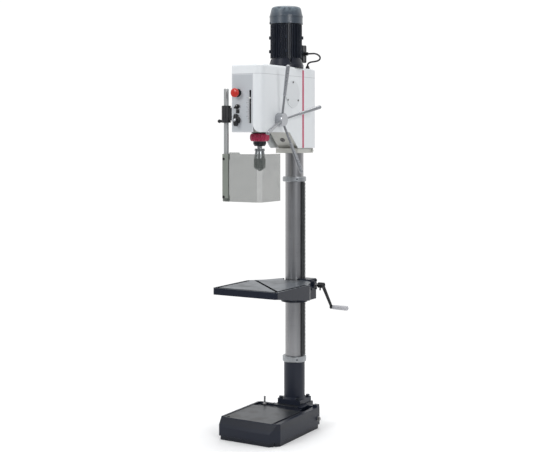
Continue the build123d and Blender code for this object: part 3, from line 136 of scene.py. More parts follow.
def bump(height, distance, strength=1.0, under=None):
    """The surface normal over a relief that is distance metres high where height is 1."""
    inputs = {"Height": height, "Distance": distance, "Strength": strength}
    if under is not None:
        inputs["Normal"] = under
    return height.add("ShaderNodeBump", {}, inputs)


FLOOR_HALF = 1.6
floor_mesh = bpy.data.meshes.new("studio_floor")
floor_mesh.from_pydata([(-FLOOR_HALF, -FLOOR_HALF, 0), (FLOOR_HALF, -FLOOR_HALF, 0),
                        (FLOOR_HALF, FLOOR_HALF, 0), (-FLOOR_HALF, FLOOR_HALF, 0)], [], [(0, 1, 2, 3)])
floor = bpy.data.objects.new("studio_floor", floor_mesh)
bpy.context.scene.collection.objects.link(floor)
floor_paint, place = new_finish("studio_floor")
set_finish(floor_paint, {"Base Color": mix(noise(place, 3.0), screen(244, 244, 244), screen(250, 250, 250)),
                         "Roughness": 0.8, "Specular IOR Level": 0.2})
floor_mesh.materials.append(floor_paint)

sky = bpy.data.worlds.new("studio_sky")
sky.use_nodes = True
way = Wire(sky.node_tree).add("ShaderNodeTexCoord", {}, {}, 0)
backdrop = way.add("ShaderNodeVectorMath", {"operation": "DOT_PRODUCT"}, {0: way, 1: (-0.505, 0.863, 0.0)}, 1)
light = mix(step(backdrop, -0.35, 0.45), screen(174, 176, 179), (1.0, 1.0, 1.0, 1.0))
sky.node_tree.links.new(light.socket, sky.node_tree.nodes["Background"].inputs["Color"])
sky.node_tree.nodes["Background"].inputs["Strength"].default_value = 1.05
bpy.context.scene.world = sky
bpy.context.scene.view_settings.view_transform = "Standard"


def soft_lamp(name, place, target, size, power):
    """A square lamp at place, pointing at target."""
    lamp = bpy.data.lights.new(name, "AREA")
    lamp.size = size
    lamp.energy = power
    holder = bpy.data.objects.new(name, lamp)
    bpy.context.scene.collection.objects.link(holder)
    way = np.array(target) - np.array(place)
    flat = float(np.hypot(way[0], way[1]))
    holder.location = place
    holder.rotation_euler = (np.arctan2(flat, -way[2]), 0, np.arctan2(-way[0], way[1]))


soft_lamp("front_lamp", (-1.2, -4.2, 3.4), (0, 0, 0.9), 1.6, 80)
soft_lamp("right_lamp", (3.9, -2.7, 2.6), (0, 0.1, 1.0), 1.1, 55)
soft_lamp("top_lamp", (0.3, 0.4, 4.6), (0, 0.1, 0), 2.4, 80)

camera = bpy.data.objects.new("camera", bpy.data.cameras.new("camera"))
bpy.context.scene.collection.objects.link(camera)
camera.location = (2.510, -4.194, 1.3374)
camera.rotation_euler = (radians(90), 0, radians(30.3233))
camera.data.lens = 70.4
camera.data.shift_y = -0.1616
bpy.context.scene.camera = camera


# ---- Motor lead ----------------------------------------------------------------------
# A short black rubber lead, 8 mm thick, from the gland on the motor's terminal box in one
# open loop down to the gland on the head. It is stiff enough to hold the loop in the air.
LEAD_D = 0.008
LEAD_ROUTE = [(0.068, 0.246, 1.718), (0.084, 0.246, 1.718), (0.103, 0.249, 1.7185),
              (0.118, 0.253, 1.713), (0.127, 0.258, 1.702), (0.122, 0.264, 1.691),
              (0.107, 0.270, 1.685), (0.087, 0.275, 1.683), (0.069, 0.279, 1.682),
              (0.057, 0.280, 1.6795), (0.050, 0.280, 1.674), (0.048, 0.280, 1.668),
              (0.048, 0.280, 1.664)]


def cord_curve(name, route, thickness):
    """A round cord whose line is a NURBS spline with the route as its control points."""
    curve = bpy.data.curves.new(name, "CURVE")
    curve.dimensions = "3D"
    spline = curve.splines.new("NURBS")
    spline.points.add(len(route) - 1)
    spline.points.foreach_set("co", np.column_stack([route, np.ones(len(route))]).ravel())
    spline.order_u = 3
    spline.use_endpoint_u = True
    curve.resolution_u = 16
    curve.bevel_depth = thickness / 2
    curve.bevel_resolution = 5
    curve.use_fill_caps = True
    cord = bpy.data.objects.new(name, curve)
    bpy.context.scene.collection.objects.link(cord)
    return cord


def rubber(name, colour):
    """Extruded rubber: dull, with fine pits and a few rubbed patches that shine."""
    material, place = new_finish(name)
    rubbed = step(noise(place, 45.0, 3.0), 0.45, 0.7)
    return set_finish(material, {
        "Base Color": mix(rubbed, colour, tuple(0.015 + 1.25 * c for c in colour[:3]) + (1.0,)),
        "Roughness": 0.62 - rubbed * 0.2,
        "Normal": bump(noise(place, 1600.0), 0.0002, 0.5)})


lead = cord_curve("motor_lead", LEAD_ROUTE, LEAD_D)
lead.data.materials.append(rubber("lead_rubber", screen(42, 42, 46)))
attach(lead, "stand")
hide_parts("motor_cable")


# ---- Base ----------------------------------------------------------------------------
# One iron casting, sprayed slate blue. Its working face is planed bright grey, and a sunk
# channel round it, with painted shade on its floor, brings the coolant to the drain at the back right.
SLATE = screen(17, 23, 37)
# The lighter slate for edges: paint rubbed thin, and in part painted highlight on the edges.
SLATE_WORN_AND_LIT = screen(56, 65, 82)
IRON = screen(62, 66, 71)


def parts(place):
    """The three numbers of a place, each as a Wire."""
    split = place.add("ShaderNodeSeparateXYZ", {}, {0: place})
    return [Wire(place.tree, split.socket.node.outputs[i]) for i in range(3)]


def within(value, low, high, soft):
    """1 where value is between low and high, and 0 further out than soft."""
    return step(value, low - soft, low) * (1 - step(value, high, high + soft))


def stretched(place, x, y, z):
    """The place scaled on each axis, so that the grains laid on it are drawn out."""
    return place.add("ShaderNodeVectorMath", {"operation": "MULTIPLY"}, {0: place, 1: (x, y, z)})


def eased_edges(place, radius):
    """The normal with sharp edges rounded off, and how far it leans from the flat face."""
    eased = place.add("ShaderNodeBevel", {"samples": 4}, {"Radius": radius})
    face = place.add("ShaderNodeNewGeometry", {}, {}, 1)
    along = place.add("ShaderNodeVectorMath", {"operation": "DOT_PRODUCT"}, {0: eased, 1: face}, 1)
    return eased, 1 - along


def toned(colour, share):
    """A colour with its light multiplied by share."""
    return tuple(share * c for c in colour[:3]) + (1.0,)


def enamel_look(place, colour, worn_and_lit, radius, shine):
    """Sprayed enamel on a sand casting, as (colour, roughness, normal) Wires: cloudy from the
    spray gun, orange peel 2 mm across, the mould's slow waves, and edges lighter, partly paint
    rubbed thin and partly painted highlight."""
    eased, lean = eased_edges(place, radius)
    cloud = noise(place, 7.0, 3.0)
    # Painted highlight and wear: on sharp edges, broken up by noise, the colour turns to the lighter edge
    # colour.
    rubbed = step(lean * noise(place, 160.0, 3.0), 0.05, 0.2)
    shade = mix(cloud, toned(colour, 0.86), toned(colour, 1.12))
    peel = noise(place, 480.0) * 0.35 + noise(place, 60.0, 3.0)
    return mix(rubbed * 0.8, shade, worn_and_lit), shine + cloud * 0.12, bump(peel, 0.0004, 0.6, eased)


def planed_look(place, colour, across, along):
    """Planed iron, as (colour, roughness) Wires: fine tool lines and faint oil stains."""
    lines = noise(stretched(place, across, along, 1.0), 1.0, 3.0)
    stain = step(noise(place, 14.0, 4.0), 0.42, 0.75)
    bright = mix(lines, toned(colour, 0.82), toned(colour, 1.18))
    return mix(stain * 0.35, bright, screen(96, 92, 86)), 0.3 + lines * 0.14 + stain * 0.12


def wear(node, material):
    """Puts one material on every face of a CAD node."""
    slots = frame["nodes"][node].material_slots
    for held in slots:
        held.material = material


base_paint, place = new_finish("base_enamel")
x, y, z = parts(place)
pad_plan = within(x, -0.1386, 0.1096, 0.0005) * within(y, -0.1555, 0.0976, 0.0005)
pad = pad_plan * within(z, 0.0956, 0.0963, 0.0003)
seat = within(x, -0.0650, 0.0650, 0.0008) * step(y, 0.1515, 0.1525) * within(z, 0.0954, 0.0966, 0.0004)
bare = pad + seat
painted, dull, relief = enamel_look(place, SLATE, SLATE_WORN_AND_LIT, 0.003, 0.3)
planed, shine = planed_look(place, IRON, 14.0, 900.0)
# Painted shade: a band from 70 to 90.5 mm high, which takes in the floor of the sunk channel, is darkened a
# little, and the lowest 30 mm is darkened more, as painted shadow at the foot.
painted_shade = within(z, 0.070, 0.0905, 0.002) * 0.35 + (1 - step(z, 0.0, 0.03)) * 0.5
set_finish(base_paint, {
    "Base Color": mix(bare, mix(painted_shade, painted, screen(24, 26, 30)), planed),
    "Roughness": dull * (1 - bare) + shine * bare,
    "Metallic": bare * 0.75,
    "Specular IOR Level": 0.3,
    "Normal": relief})
wear("base_casting", base_paint)


def plated(name, colour, rough=0.3):
    """Zinc-plated steel: brushed, slightly mottled, with darker traces of handling."""
    material, place = new_finish(name)
    blotch = noise(place, 120.0, 3.0)
    eased, lean = eased_edges(place, 0.0006)
    return set_finish(material, {
        "Base Color": mix(blotch, toned(colour, 0.7), colour),
        "Roughness": rough + blotch * 0.2,
        "Metallic": 0.9,
        "Normal": bump(noise(place, 1500.0), 0.00015, 0.4, eased)})


bolt_steel = plated("bolt_steel", screen(150, 150, 150))
wear("base_fittings", bolt_steel)


# ---- Column --------------------------------------------------------------------------
# A ground steel tube in a painted cast flange, which four hexagon bolts hold to the base.
# Two turned rings, each with a set screw, keep the lift rack in place along the tube.
def enamel(name, colour, worn_and_lit, radius=0.002, shine=0.3):
    """A whole casting in sprayed enamel."""
    material, place = new_finish(name)
    shade, rough, relief = enamel_look(place, colour, worn_and_lit, radius, shine)
    return set_finish(material, {"Base Color": shade, "Roughness": rough, "Specular IOR Level": 0.3,
                                 "Normal": relief})


def turned_steel(name, colour, ring_scale, rough=0.26, metal=0.85):
    """Steel turned or ground about the upright axis: fine rings at every height, with slow
    bands of tone, and a few faint drips of old oil down it."""
    material, place = new_finish(name)
    rings = noise(stretched(place, 8.0, 8.0, ring_scale), 1.0, 3.0)
    bands = noise(stretched(place, 3.0, 3.0, 9.0), 1.0, 2.0)
    drips = step(noise(stretched(place, 130.0, 130.0, 4.0), 1.0, 2.0), 0.56, 0.8)
    eased, lean = eased_edges(place, 0.0008)
    tone = mix(rings * 0.5 + bands * 0.5, toned(colour, 0.78),
               toned(colour, 1.15))
    return set_finish(material, {
        "Base Color": mix(drips * 0.35, tone, screen(112, 104, 92)),
        "Roughness": rough + rings * 0.12 + drips * 0.1,
        "Metallic": metal,
        "Normal": bump(rings, 0.00012, 0.5, eased)})


wear("column_flange", enamel("flange_enamel", screen(28, 33, 46), SLATE_WORN_AND_LIT))
wear("column_fasteners", plated("flange_bolts", screen(66, 70, 78)))
wear("column_tube", turned_steel("column_steel", screen(150, 150, 152), 1400.0, 0.24, 0.95))
wear("rack_rings", turned_steel("ring_steel", screen(160, 163, 166), 1800.0, 0.34))


def greased_steel(name, colour):
    """Cut steel under a film of grease: dark and wet in the hollows."""
    material, place = new_finish(name)
    film = step(noise(place, 60.0, 3.0), 0.35, 0.65)
    eased, lean = eased_edges(place, 0.0004)
    return set_finish(material, {
        "Base Color": mix(film * 0.7, colour, screen(58, 54, 46)),
        "Roughness": 0.42 - film * 0.2,
        "Metallic": 0.9 - film * 0.4,
        "Normal": bump(noise(place, 700.0), 0.0002, 0.4, eased)})


wear("lift_pinion", greased_steel("lift_steel", screen(104, 104, 106)))
rack_finish, place = new_finish("rack_phosphate")
grease = noise(stretched(place, 60.0, 60.0, 6.0), 1.0, 3.0)
eased, lean = eased_edges(place, 0.0004)
set_finish(rack_finish, {
    "Base Color": mix(grease, screen(58, 60, 62), screen(74, 76, 78)),
    "Roughness": 0.5 - grease * 0.14,
    "Metallic": 0.35,
    "Normal": bump(noise(place, 900.0), 0.00015, 0.4, eased)})
wear("column_rack", rack_finish)


# ---- Table ---------------------------------------------------------------------------
# A cast table with a planed top, one slanting T-slot and a drip channel, painted slate
# below. The gear housing is part of the casting, and four screws hold its right-hand cap.
table_paint, place = new_finish("table_enamel")
x, y, z = parts(place)
flat_top = within(x, -0.1636, 0.1636, 0.0004) * step(z, 0.6694, 0.6699) * (1 - step(z, 0.6702, 0.6710))
slate, dull, relief = enamel_look(place, SLATE, SLATE_WORN_AND_LIT, 0.003, 0.28)
planed, shine = planed_look(place, screen(98, 104, 111), 900.0, 14.0)
# Painted shade: the sunk faces below the planed top, in the T-slot and the drip channel, are darkened towards
# near black.
sunk = within(z, 0.650, 0.6685, 0.0008) * within(y, -0.1965, 0.088, 0.002) * within(x, -0.1565, 0.1565, 0.001)
set_finish(table_paint, {
    "Base Color": mix(flat_top, mix(sunk * 0.75, slate, screen(20, 22, 26)), planed),
    "Roughness": dull * (1 - flat_top) + shine * flat_top,
    "Metallic": flat_top * 0.7,
    "Specular IOR Level": 0.3,
    "Normal": relief})
wear("table_casting", table_paint)
wear("housing_cap", enamel("cap_enamel", SLATE, SLATE_WORN_AND_LIT, 0.001))


# ---- Lift crank ----------------------------------------------------------------------
# A black cast crank on the worm shaft that comes out of the gear housing. Its grip, a
# turned sleeve in light grey plastic, spins freely on a pin with a screw in its end.
def moulded(name, colour, rough=0.4, grain=1400.0):
    """Moulded plastic: spark-eroded grain from the mould and slight greasy handling marks."""
    material, place = new_finish(name)
    handled = step(noise(place, 35.0, 3.0), 0.4, 0.75)
    eased, lean = eased_edges(place, 0.0005)
    return set_finish(material, {
        "Base Color": mix(handled * 0.5, colour, toned(colour, 0.8)),
        "Roughness": rough - handled * 0.1,
        "Normal": bump(noise(place, grain), 0.00015, 0.4, eased)})


def skin(name, grids, material, ring=False):
    """A piece from grids of points. In each grid the rows follow one another along the piece
    and the columns go once round it; an open grid's end rows close on their own centres."""
    points, faces, count = [], [], 0
    for grid in grids:
        rows, columns = grid.shape[:2]
        number = count + np.arange(rows * columns).reshape(rows, columns)
        after = np.roll(number, -1, axis=1)
        upper = np.roll(number, -1, axis=0) if ring else number[1:]
        upper_after = np.roll(upper, -1, axis=1)
        lower = number if ring else number[:-1]
        lower_after = after if ring else after[:-1]
        faces += np.stack([lower, lower_after, upper_after, upper], -1).reshape(-1, 4).tolist()
        points.append(grid.reshape(-1, 3))
        count += rows * columns
        if not ring:
            points.append(np.array([grid[0].mean(0), grid[-1].mean(0)]))
            faces += np.stack([after[0], number[0], np.full(columns, count)], -1).tolist()
            faces += np.stack([number[-1], after[-1], np.full(columns, count + 1)], -1).tolist()
            count += 2
    mesh = bpy.data.meshes.new(name)
    mesh.from_pydata(np.vstack(points).tolist(), [], faces)
    shape = bmesh.new()
    shape.from_mesh(mesh)
    bmesh.ops.recalc_face_normals(shape, faces=shape.faces)
    shape.to_mesh(mesh)
    shape.free()
    mesh.shade_smooth()
    mesh.set_sharp_from_angle(angle=radians(40))
    mesh.materials.append(material)
    piece = bpy.data.objects.new(name, mesh)
    bpy.context.scene.collection.objects.link(piece)
    return piece


def turned(start, axis, profile, sides=48, flute=None):
    """Grid of a turned shape. A profile row is (distance along the axis, radius), and a point
    is start + distance * axis + radius * (cos t * side + sin t * up) for t once round. flute
    gives a factor on the radius for each row and angle."""
    axis = np.array(axis, float) / np.linalg.norm(axis)
    side = np.cross(axis, (0, 0, 1) if abs(axis[2]) < 0.9 else (1, 0, 0))
    side /= np.linalg.norm(side)
    up = np.cross(axis, side)
    angle = np.linspace(0, 2 * pi, sides, endpoint=False)
    along, radius = np.array(profile, float).T
    spread = radius[:, None] * (np.ones(sides) if flute is None else flute(along[:, None], angle[None, :]))
    round_points = np.cos(angle)[None, :, None] * side + np.sin(angle)[None, :, None] * up
    return np.array(start) + along[:, None, None] * axis + spread[:, :, None] * round_points


def eased_rod(length, start_radius, end_radius, nose, rows=24):
    """Profile of a tapering grip: the radius goes straight from one end to the other, and both
    ends are rounded as quarter ellipses over the distance nose."""
    s = (1 - np.cos(np.linspace(0, pi, rows))) / 2 * length
    radius = start_radius + (end_radius - start_radius) * s / length
    edge = np.clip(np.minimum(s, length - s) / nose, 0, 1)
    return np.column_stack([s, radius * (0.45 + 0.55 * np.sqrt(1 - (1 - edge) ** 2))])


wear("crank_arm", enamel("crank_black", screen(26, 27, 30), screen(80, 82, 86), 0.001, 0.25))
wear("crank_shaft", plated("worm_steel", screen(130, 130, 132)))
grip_low, grip_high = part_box("crank_grip")
grip_axis = (grip_low + grip_high) / 2
GRIP_L = grip_high.x - grip_low.x - 0.002
grip_body = eased_rod(GRIP_L, 0.0104, 0.0112, 0.002, 48)
grip_body[:, 1] -= 0.0006 * np.exp(-((grip_body[:, 0] - 0.006) / 0.0012) ** 2)
grip_body[:, 1] -= 0.0006 * np.exp(-((grip_body[:, 0] - GRIP_L + 0.006) / 0.0012) ** 2)
grip_cap = [(GRIP_L - 0.0005, 0.0068), (GRIP_L + 0.0015, 0.0068), (GRIP_L + 0.0020, 0.0062),
            (GRIP_L + 0.0020, 0.0030), (GRIP_L + 0.0006, 0.0028)]
crank_grip = skin("crank_grip_sleeve", [
    turned((grip_low.x, grip_axis.y, grip_axis.z), (1, 0, 0), grip_body),
    turned((grip_low.x, grip_axis.y, grip_axis.z), (1, 0, 0), grip_cap)],
    moulded("grip_grey", screen(186, 186, 190), 0.34))
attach(crank_grip, "crank_grip")
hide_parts("crank_grip")

# The clamp lever behind the table's bracket: a bright steel stem with a black ball on it.
lever_finish, place = new_finish("lock_lever")
x, y, z = parts(place)
ball = step(z, 0.6790, 0.6795)
smooth = noise(place, 90.0)
set_finish(lever_finish, {
    "Base Color": mix(ball, mix(smooth, screen(120, 120, 122), screen(165, 165, 168)), screen(22, 22, 24)),
    "Roughness": 0.3 - ball * 0.12 + smooth * 0.1,
    "Metallic": (1 - ball) * 0.9,
    "Normal": bump(smooth, 0.0001, 0.3)})
wear("lock_lever", lever_finish)


# ---- Head casting and covers ---------------------------------------------------------
# A cast gear box painted stone grey. Bent sheet covers, powder-coated white, hide all of it
# but its nose and the split clamp on the column; a printed grey panel closes the front.
STONE = screen(192, 192, 186)
WHITE = screen(223, 226, 228)
wear("head_casting", enamel("stone_enamel", STONE, screen(206, 204, 198), 0.002, 0.34))


def powder_coat(name, colour, seams=()):
    """Baked powder on sheet steel: a pebbled film 1 mm in grain, slow waves in the sheet, and a
    dark hairline at the height of each seam."""
    material, place = new_finish(name)
    x, y, z = parts(place)
    eased, lean = eased_edges(place, 0.0012)
    cloud = noise(place, 4.0, 2.0)
    tone = mix(cloud, toned(colour, 0.94), colour)
    for seam in seams:
        tone = mix(within(z, seam - 0.0004, seam + 0.0004, 0.0007) * 0.6, tone, screen(120, 122, 126))
    grain = noise(place, 1100.0)
    return set_finish(material, {
        "Base Color": tone,
        "Roughness": 0.34 + cloud * 0.12,
        "Normal": bump(grain * 0.3 + noise(place, 12.0), 0.0003, 0.35, eased)})


white_coat = powder_coat("white_powder", WHITE, (1.608,))
wear("head_cover", white_coat)
wear("head_top", white_coat)
wear("side_hatch", powder_coat("hatch_powder", screen(212, 215, 217)))

stripe_finish, place = new_finish("stripe_foil")
foil = noise(place, 60.0)
set_finish(stripe_finish, {
    "Base Color": mix(foil, screen(176, 52, 88), screen(190, 62, 98)),
    "Roughness": 0.3 + foil * 0.12,
    "Normal": bump(noise(place, 900.0), 0.0001, 0.3)})
wear("side_stripe", stripe_finish)

panel_finish, place = new_finish("panel_print")
x, y, z = parts(place)
weave = noise(place, 1300.0)
cloud = noise(place, 6.0)
eased, lean = eased_edges(place, 0.0008)
border = 1 - within(x, -0.074, 0.024, 0.0004) * within(z, 1.359, 1.602, 0.0004)
set_finish(panel_finish, {
    "Base Color": mix(border * 0.35, mix(cloud, screen(174, 178, 182), screen(184, 188, 192)),
                      screen(214, 214, 218)),
    "Roughness": 0.42 + cloud * 0.1,
    "Normal": bump(weave, 0.0001, 0.4, eased)})
wear("front_panel", panel_finish)

screw_finish, place = new_finish("head_screws")
x, y, z = parts(place)
painted_over = step(y, 0.2880, 0.2885)
blotch = noise(place, 120.0, 3.0)
set_finish(screw_finish, {
    "Base Color": mix(painted_over, mix(blotch, screen(88, 88, 88), screen(118, 118, 118)), STONE),
    "Roughness": 0.34 + blotch * 0.16,
    "Metallic": 0.9 - painted_over * 0.9,
    "Normal": bump(blotch, 0.0001, 0.4)})
wear("head_fasteners", screw_finish)
wear("cable_glands", moulded("gland_nylon", screen(24, 24, 27), 0.45))


# ---- Depth scale ---------------------------------------------------------------------
# An anodised strip beside the slot, with printed lines every 5 mm and a figure every 20.
# A white pointer on the quill slides in the slot and shows how deep the drill has gone.
scale_finish, place = new_finish("scale_strip")
x, y, z = parts(place)
inked = 1 - step(y, -0.17598, -0.17590)
brushed = noise(stretched(place, 40.0, 1.0, 2500.0), 1.0, 2.0)
set_finish(scale_finish, {
    "Base Color": mix(inked, mix(brushed, screen(176, 178, 182), screen(204, 206, 208)), screen(20, 20, 22)),
    "Roughness": 0.3 + brushed * 0.15,
    "Metallic": (1 - inked) * 0.8,
    "Normal": bump(brushed, 0.00006, 0.4)})
wear("scale_plate", scale_finish)
wear("depth_pointer", moulded("pointer_white", screen(226, 226, 222), 0.35))


def figures(name, words, height, material):
    """Flat printed characters, each word at its (x, y, z) and facing the operator."""
    points, faces, count = [], [], 0
    for word, spot in words:
        curve = bpy.data.curves.new(name, "FONT")
        curve.body = word
        curve.size = height
        curve.align_x = "RIGHT"
        curve.align_y = "CENTER"
        curve.resolution_u = 3
        holder = bpy.data.objects.new(name, curve)
        flat = bpy.data.meshes.new_from_object(holder)
        corners = np.empty(len(flat.vertices) * 3)
        flat.vertices.foreach_get("co", corners)
        corners = corners.reshape(-1, 3)
        points.append(np.column_stack([corners[:, 0] + spot[0], np.full(len(corners), spot[1]),
                                       corners[:, 1] + spot[2]]))
        faces += [[count + v for v in face.vertices] for face in flat.polygons]
        count += len(corners)
        bpy.data.objects.remove(holder)
    mesh = bpy.data.meshes.new(name)
    mesh.from_pydata(np.vstack(points).tolist(), [], faces)
    mesh.materials.append(material)
    piece = bpy.data.objects.new(name, mesh)
    bpy.context.scene.collection.objects.link(piece)
    return piece


def ink(name, colour):
    """Screen-printed ink: thin, with small gaps where it missed the grain of the foil."""
    material, place = new_finish(name)
    gaps = step(noise(place, 1500.0, 3.0), 0.62, 0.75)
    return set_finish(material, {"Base Color": mix(gaps * 0.4, colour, screen(150, 150, 156)),
                                 "Roughness": 0.5 + gaps * 0.1})


strip_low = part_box("scale_plate")[0]
pointer_low, pointer_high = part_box("depth_pointer")
zero = (pointer_low.z + pointer_high.z) / 2
panel_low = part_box("front_panel")[0]
print_face = panel_low.y - 0.0001
words = [(str(depth), (strip_low.x - 0.0015, print_face, zero - depth / 1000)) for depth in range(0, 100, 20)]
scale_figures = figures("scale_figures", words, 0.0052, ink("black_ink", screen(28, 28, 32)))
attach(scale_figures, "stand")


# ---- Controls ------------------------------------------------------------------------
# Bought-in switches in holes of the front panel: a red mushroom to stop the motor, a small
# bar knob, a square push button, and the large black handle that changes gear.
bezel_finish, place = new_finish("switch_bezels")
x, y, z = parts(place)
bright = step(z, 1.4530, 1.4535) * (1 - step(z, 1.4800, 1.4805)) + (1 - step(z, 1.4260, 1.4265))
grain = noise(place, 1300.0)
set_finish(bezel_finish, {
    "Base Color": mix(bright, mix(grain, screen(22, 22, 24), screen(32, 32, 34)),
                      mix(grain, screen(188, 190, 194), screen(206, 208, 212))),
    "Roughness": 0.38 + grain * 0.1,
    "Metallic": bright * 0.6,
    "Normal": bump(grain, 0.00012, 0.4)})
wear("control_bezels", bezel_finish)


def outline_knob(centre, half_x, half_z, back, front, round_edge, lean, power=4.0, count=56):
    """Grid of a knob that stands out of the panel: its outline is a superellipse, the points
    where |x/a|^n + |z/b|^n = 1, turned by lean; it shrinks to the front as a quarter circle."""
    t = np.linspace(0, 2 * pi, count, endpoint=False)
    ox = half_x * np.sign(np.cos(t)) * np.abs(np.cos(t)) ** (2 / power)
    oz = half_z * np.sign(np.sin(t)) * np.abs(np.sin(t)) ** (2 / power)
    turn = np.linspace(0, pi / 2, 7)
    depth = np.concatenate([[back], front + round_edge * (1 - np.sin(turn))])
    inset = np.concatenate([[0.0], round_edge * (1 - np.cos(turn))])
    px = ox[None, :] * (1 - inset[:, None] / half_x)
    pz = oz[None, :] * (1 - inset[:, None] / half_z)
    return np.stack([centre[0] + px * cos(lean) + pz * sin(lean),
                     np.broadcast_to(depth[:, None], px.shape),
                     centre[1] - px * sin(lean) + pz * cos(lean)], -1)


stop_low, stop_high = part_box("estop_button")
stop_x = (stop_low.x + stop_high.x) / 2
stop_z = (stop_low.z + stop_high.z) / 2
dome = np.linspace(0, pi / 2, 12)
stop_profile = [(0.0, 0.0070), (0.0195, 0.0070), (0.0200, 0.0100), (0.0200, 0.0180), (0.0206, 0.0194)]
stop_profile += [(0.0225, 0.0198), (0.0262, 0.0200)]
stop_profile += [(0.0262 + 0.0078 * sin(a), 0.0200 * (0.06 + 0.94 * cos(a) ** 0.7)) for a in dome[1:-1]]
stop_profile += [(0.0340, 0.0016)]


def rim_grip(along, angle):
    """Shallow finger flutes, 24 round the rim and none on the stem or the dome."""
    rim = np.exp(-((along - 0.0235) / 0.0030) ** 4)
    return 1 - 0.020 * rim * (0.5 - 0.5 * np.cos(24 * angle))


stop_button = skin("stop_mushroom",
                   [turned((stop_x, stop_high.y, stop_z), (0, -1, 0), stop_profile, 96, rim_grip)],
                   moulded("stop_red", screen(186, 38, 26), 0.3))
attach(stop_button, "estop")
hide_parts("estop_button")

BLACK_KNOB = screen(22, 22, 25)
knob_black = moulded("knob_black", BLACK_KNOB, 0.36)
line_white = ink("knob_line", screen(232, 232, 230))
turn_low, turn_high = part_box("rotary_switch")
turn_x = (turn_low.x + turn_high.x) / 2
turn_z = (turn_low.z + turn_high.z) / 2
TURN_LEAN = radians(-36)
rotary = skin("rotary_knob", [
    turned((turn_x, turn_high.y, turn_z), (0, -1, 0),
           [(0, 0.004), (0.0133, 0.004), (0.0133, 0.0104), (0.0138, 0.0110), (0.0164, 0.0108),
             (0.0170, 0.0100)]),
    outline_knob((turn_x, turn_z), 0.0128, 0.0040, turn_high.y - 0.0165, turn_low.y, 0.0026, TURN_LEAN)],
    knob_black)
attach(rotary, "rotary_switch")
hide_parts("rotary_switch")
rotary_line = skin("rotary_line", [outline_knob(
    (turn_x + 0.0062 * cos(TURN_LEAN), turn_z - 0.0062 * sin(TURN_LEAN)), 0.0036, 0.0006,
    turn_low.y + 0.0006, turn_low.y - 0.0002, 0.0001, TURN_LEAN)], line_white)
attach(rotary_line, "rotary_switch")

press_low, press_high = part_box("start_button")
press_centre = ((press_low.x + press_high.x) / 2, (press_low.z + press_high.z) / 2)
start_button = skin("start_key", [outline_knob(press_centre, 0.0044, 0.0044, press_high.y, press_low.y,
                                               0.0012, 0.0, 10.0)],
                                         moulded("key_black", screen(30, 30, 33), 0.3))
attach(start_button, "start_button")
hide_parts("start_button")

gear_low, gear_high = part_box("gear_selector")
gear_x = (gear_low.x + gear_high.x) / 2
gear_z = (gear_low.z + gear_high.z) / 2
selector = skin("gear_handle", [
    turned((gear_x, gear_high.y, gear_z), (0, -1, 0),
           [(0, 0.005), (0.0143, 0.005), (0.0143, 0.0162), (0.0150, 0.0170), (0.0240, 0.0166),
             (0.0252, 0.0150)], 64),
    outline_knob((gear_x, gear_z), 0.0088, 0.0269, gear_low.y + 0.020, gear_low.y, 0.0050, 0.0, 2.8)],
    knob_black)
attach(selector, "gear_selector")
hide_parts("gear_selector")


def brushed_disc(name, colour):
    """Spun aluminium: rings too fine to count one by one, with a soft sheen."""
    material, place = new_finish(name)
    fine = noise(place, 2600.0)
    return set_finish(material, {"Base Color": mix(fine, toned(colour, 0.88), colour),
                                 "Roughness": 0.24 + fine * 0.14, "Metallic": 0.9,
                                 "Normal": bump(fine, 0.00005, 0.4)})


selector_disc = skin("gear_handle_disc", [turned(
    (gear_x, gear_low.y + 0.0005, gear_z), (0, -1, 0),
    [(0, 0.0062), (0.0006, 0.0062), (0.0009, 0.0057), (0.0009, 0.0012)], 48)],
    brushed_disc("disc_aluminium", screen(198, 200, 204)))
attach(selector_disc, "gear_selector")


# ---- Quill, spindle and chuck --------------------------------------------------------
# The ground quill slides in its bore and carries the spindle; a crimson lobed ring under
# the black collar sets the depth stop. The keyed chuck is bright steel with three jaws.
wear("spindle_collar", moulded("collar_black", screen(22, 22, 25), 0.32))
wear("quill", turned_steel("quill_steel", screen(170, 171, 173), 2200.0, 0.2, 0.95))
wear("quill_nose", turned_steel("nose_steel", screen(54, 55, 59), 2200.0, 0.16, 0.9))
wear("quill_bearings", plated("bearing_steel", screen(168, 168, 170), 0.22))
wear("spindle", turned_steel("spindle_steel", screen(150, 151, 153), 2200.0, 0.22, 0.95))
wear("chuck_body", turned_steel("chuck_steel", screen(132, 135, 137), 2000.0, 0.2, 0.95))

knurl_finish, place = new_finish("chuck_knurl")
x, y, z = parts(place)
grip_low, grip_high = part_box("chuck_sleeve")
centre_y = (grip_low.y + grip_high.y) / 2
angle = x.math("ARCTAN2", x, y - centre_y)
rising = (angle * 0.026 + z) * 2300.0
falling = (angle * 0.026 - z) * 2300.0
knurl = x.math("MULTIPLY", x.math("SINE", rising, 0.0), x.math("SINE", falling, 0.0)) * 0.5 + 0.5
banded = within(z, grip_low.z + 0.008, grip_high.z - 0.004, 0.0005)
set_finish(knurl_finish, {
    "Base Color": mix(knurl * banded, screen(104, 107, 109), screen(62, 64, 66)),
    "Roughness": 0.3 + banded * 0.14,
    "Metallic": 0.88,
    "Normal": bump(knurl * banded, 0.0005, 0.8)})
wear("chuck_sleeve", knurl_finish)
jaw_steel = plated("jaw_steel", screen(96, 97, 99), 0.28)
for jaw in ("chuck_jaw_a", "chuck_jaw_b", "chuck_jaw_c"):
    wear(jaw, jaw_steel)

ring_low, ring_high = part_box("stop_ring")
ring_centre = (ring_low + ring_high) / 2
RING_LOBES = 16
RING_DRAW = 0.0034
across = np.linspace(0, 2 * pi, 384, endpoint=False)
round_section = np.linspace(0, 2 * pi, 28, endpoint=False)
half_height = (ring_high.z - ring_low.z) / 2 - 0.0002


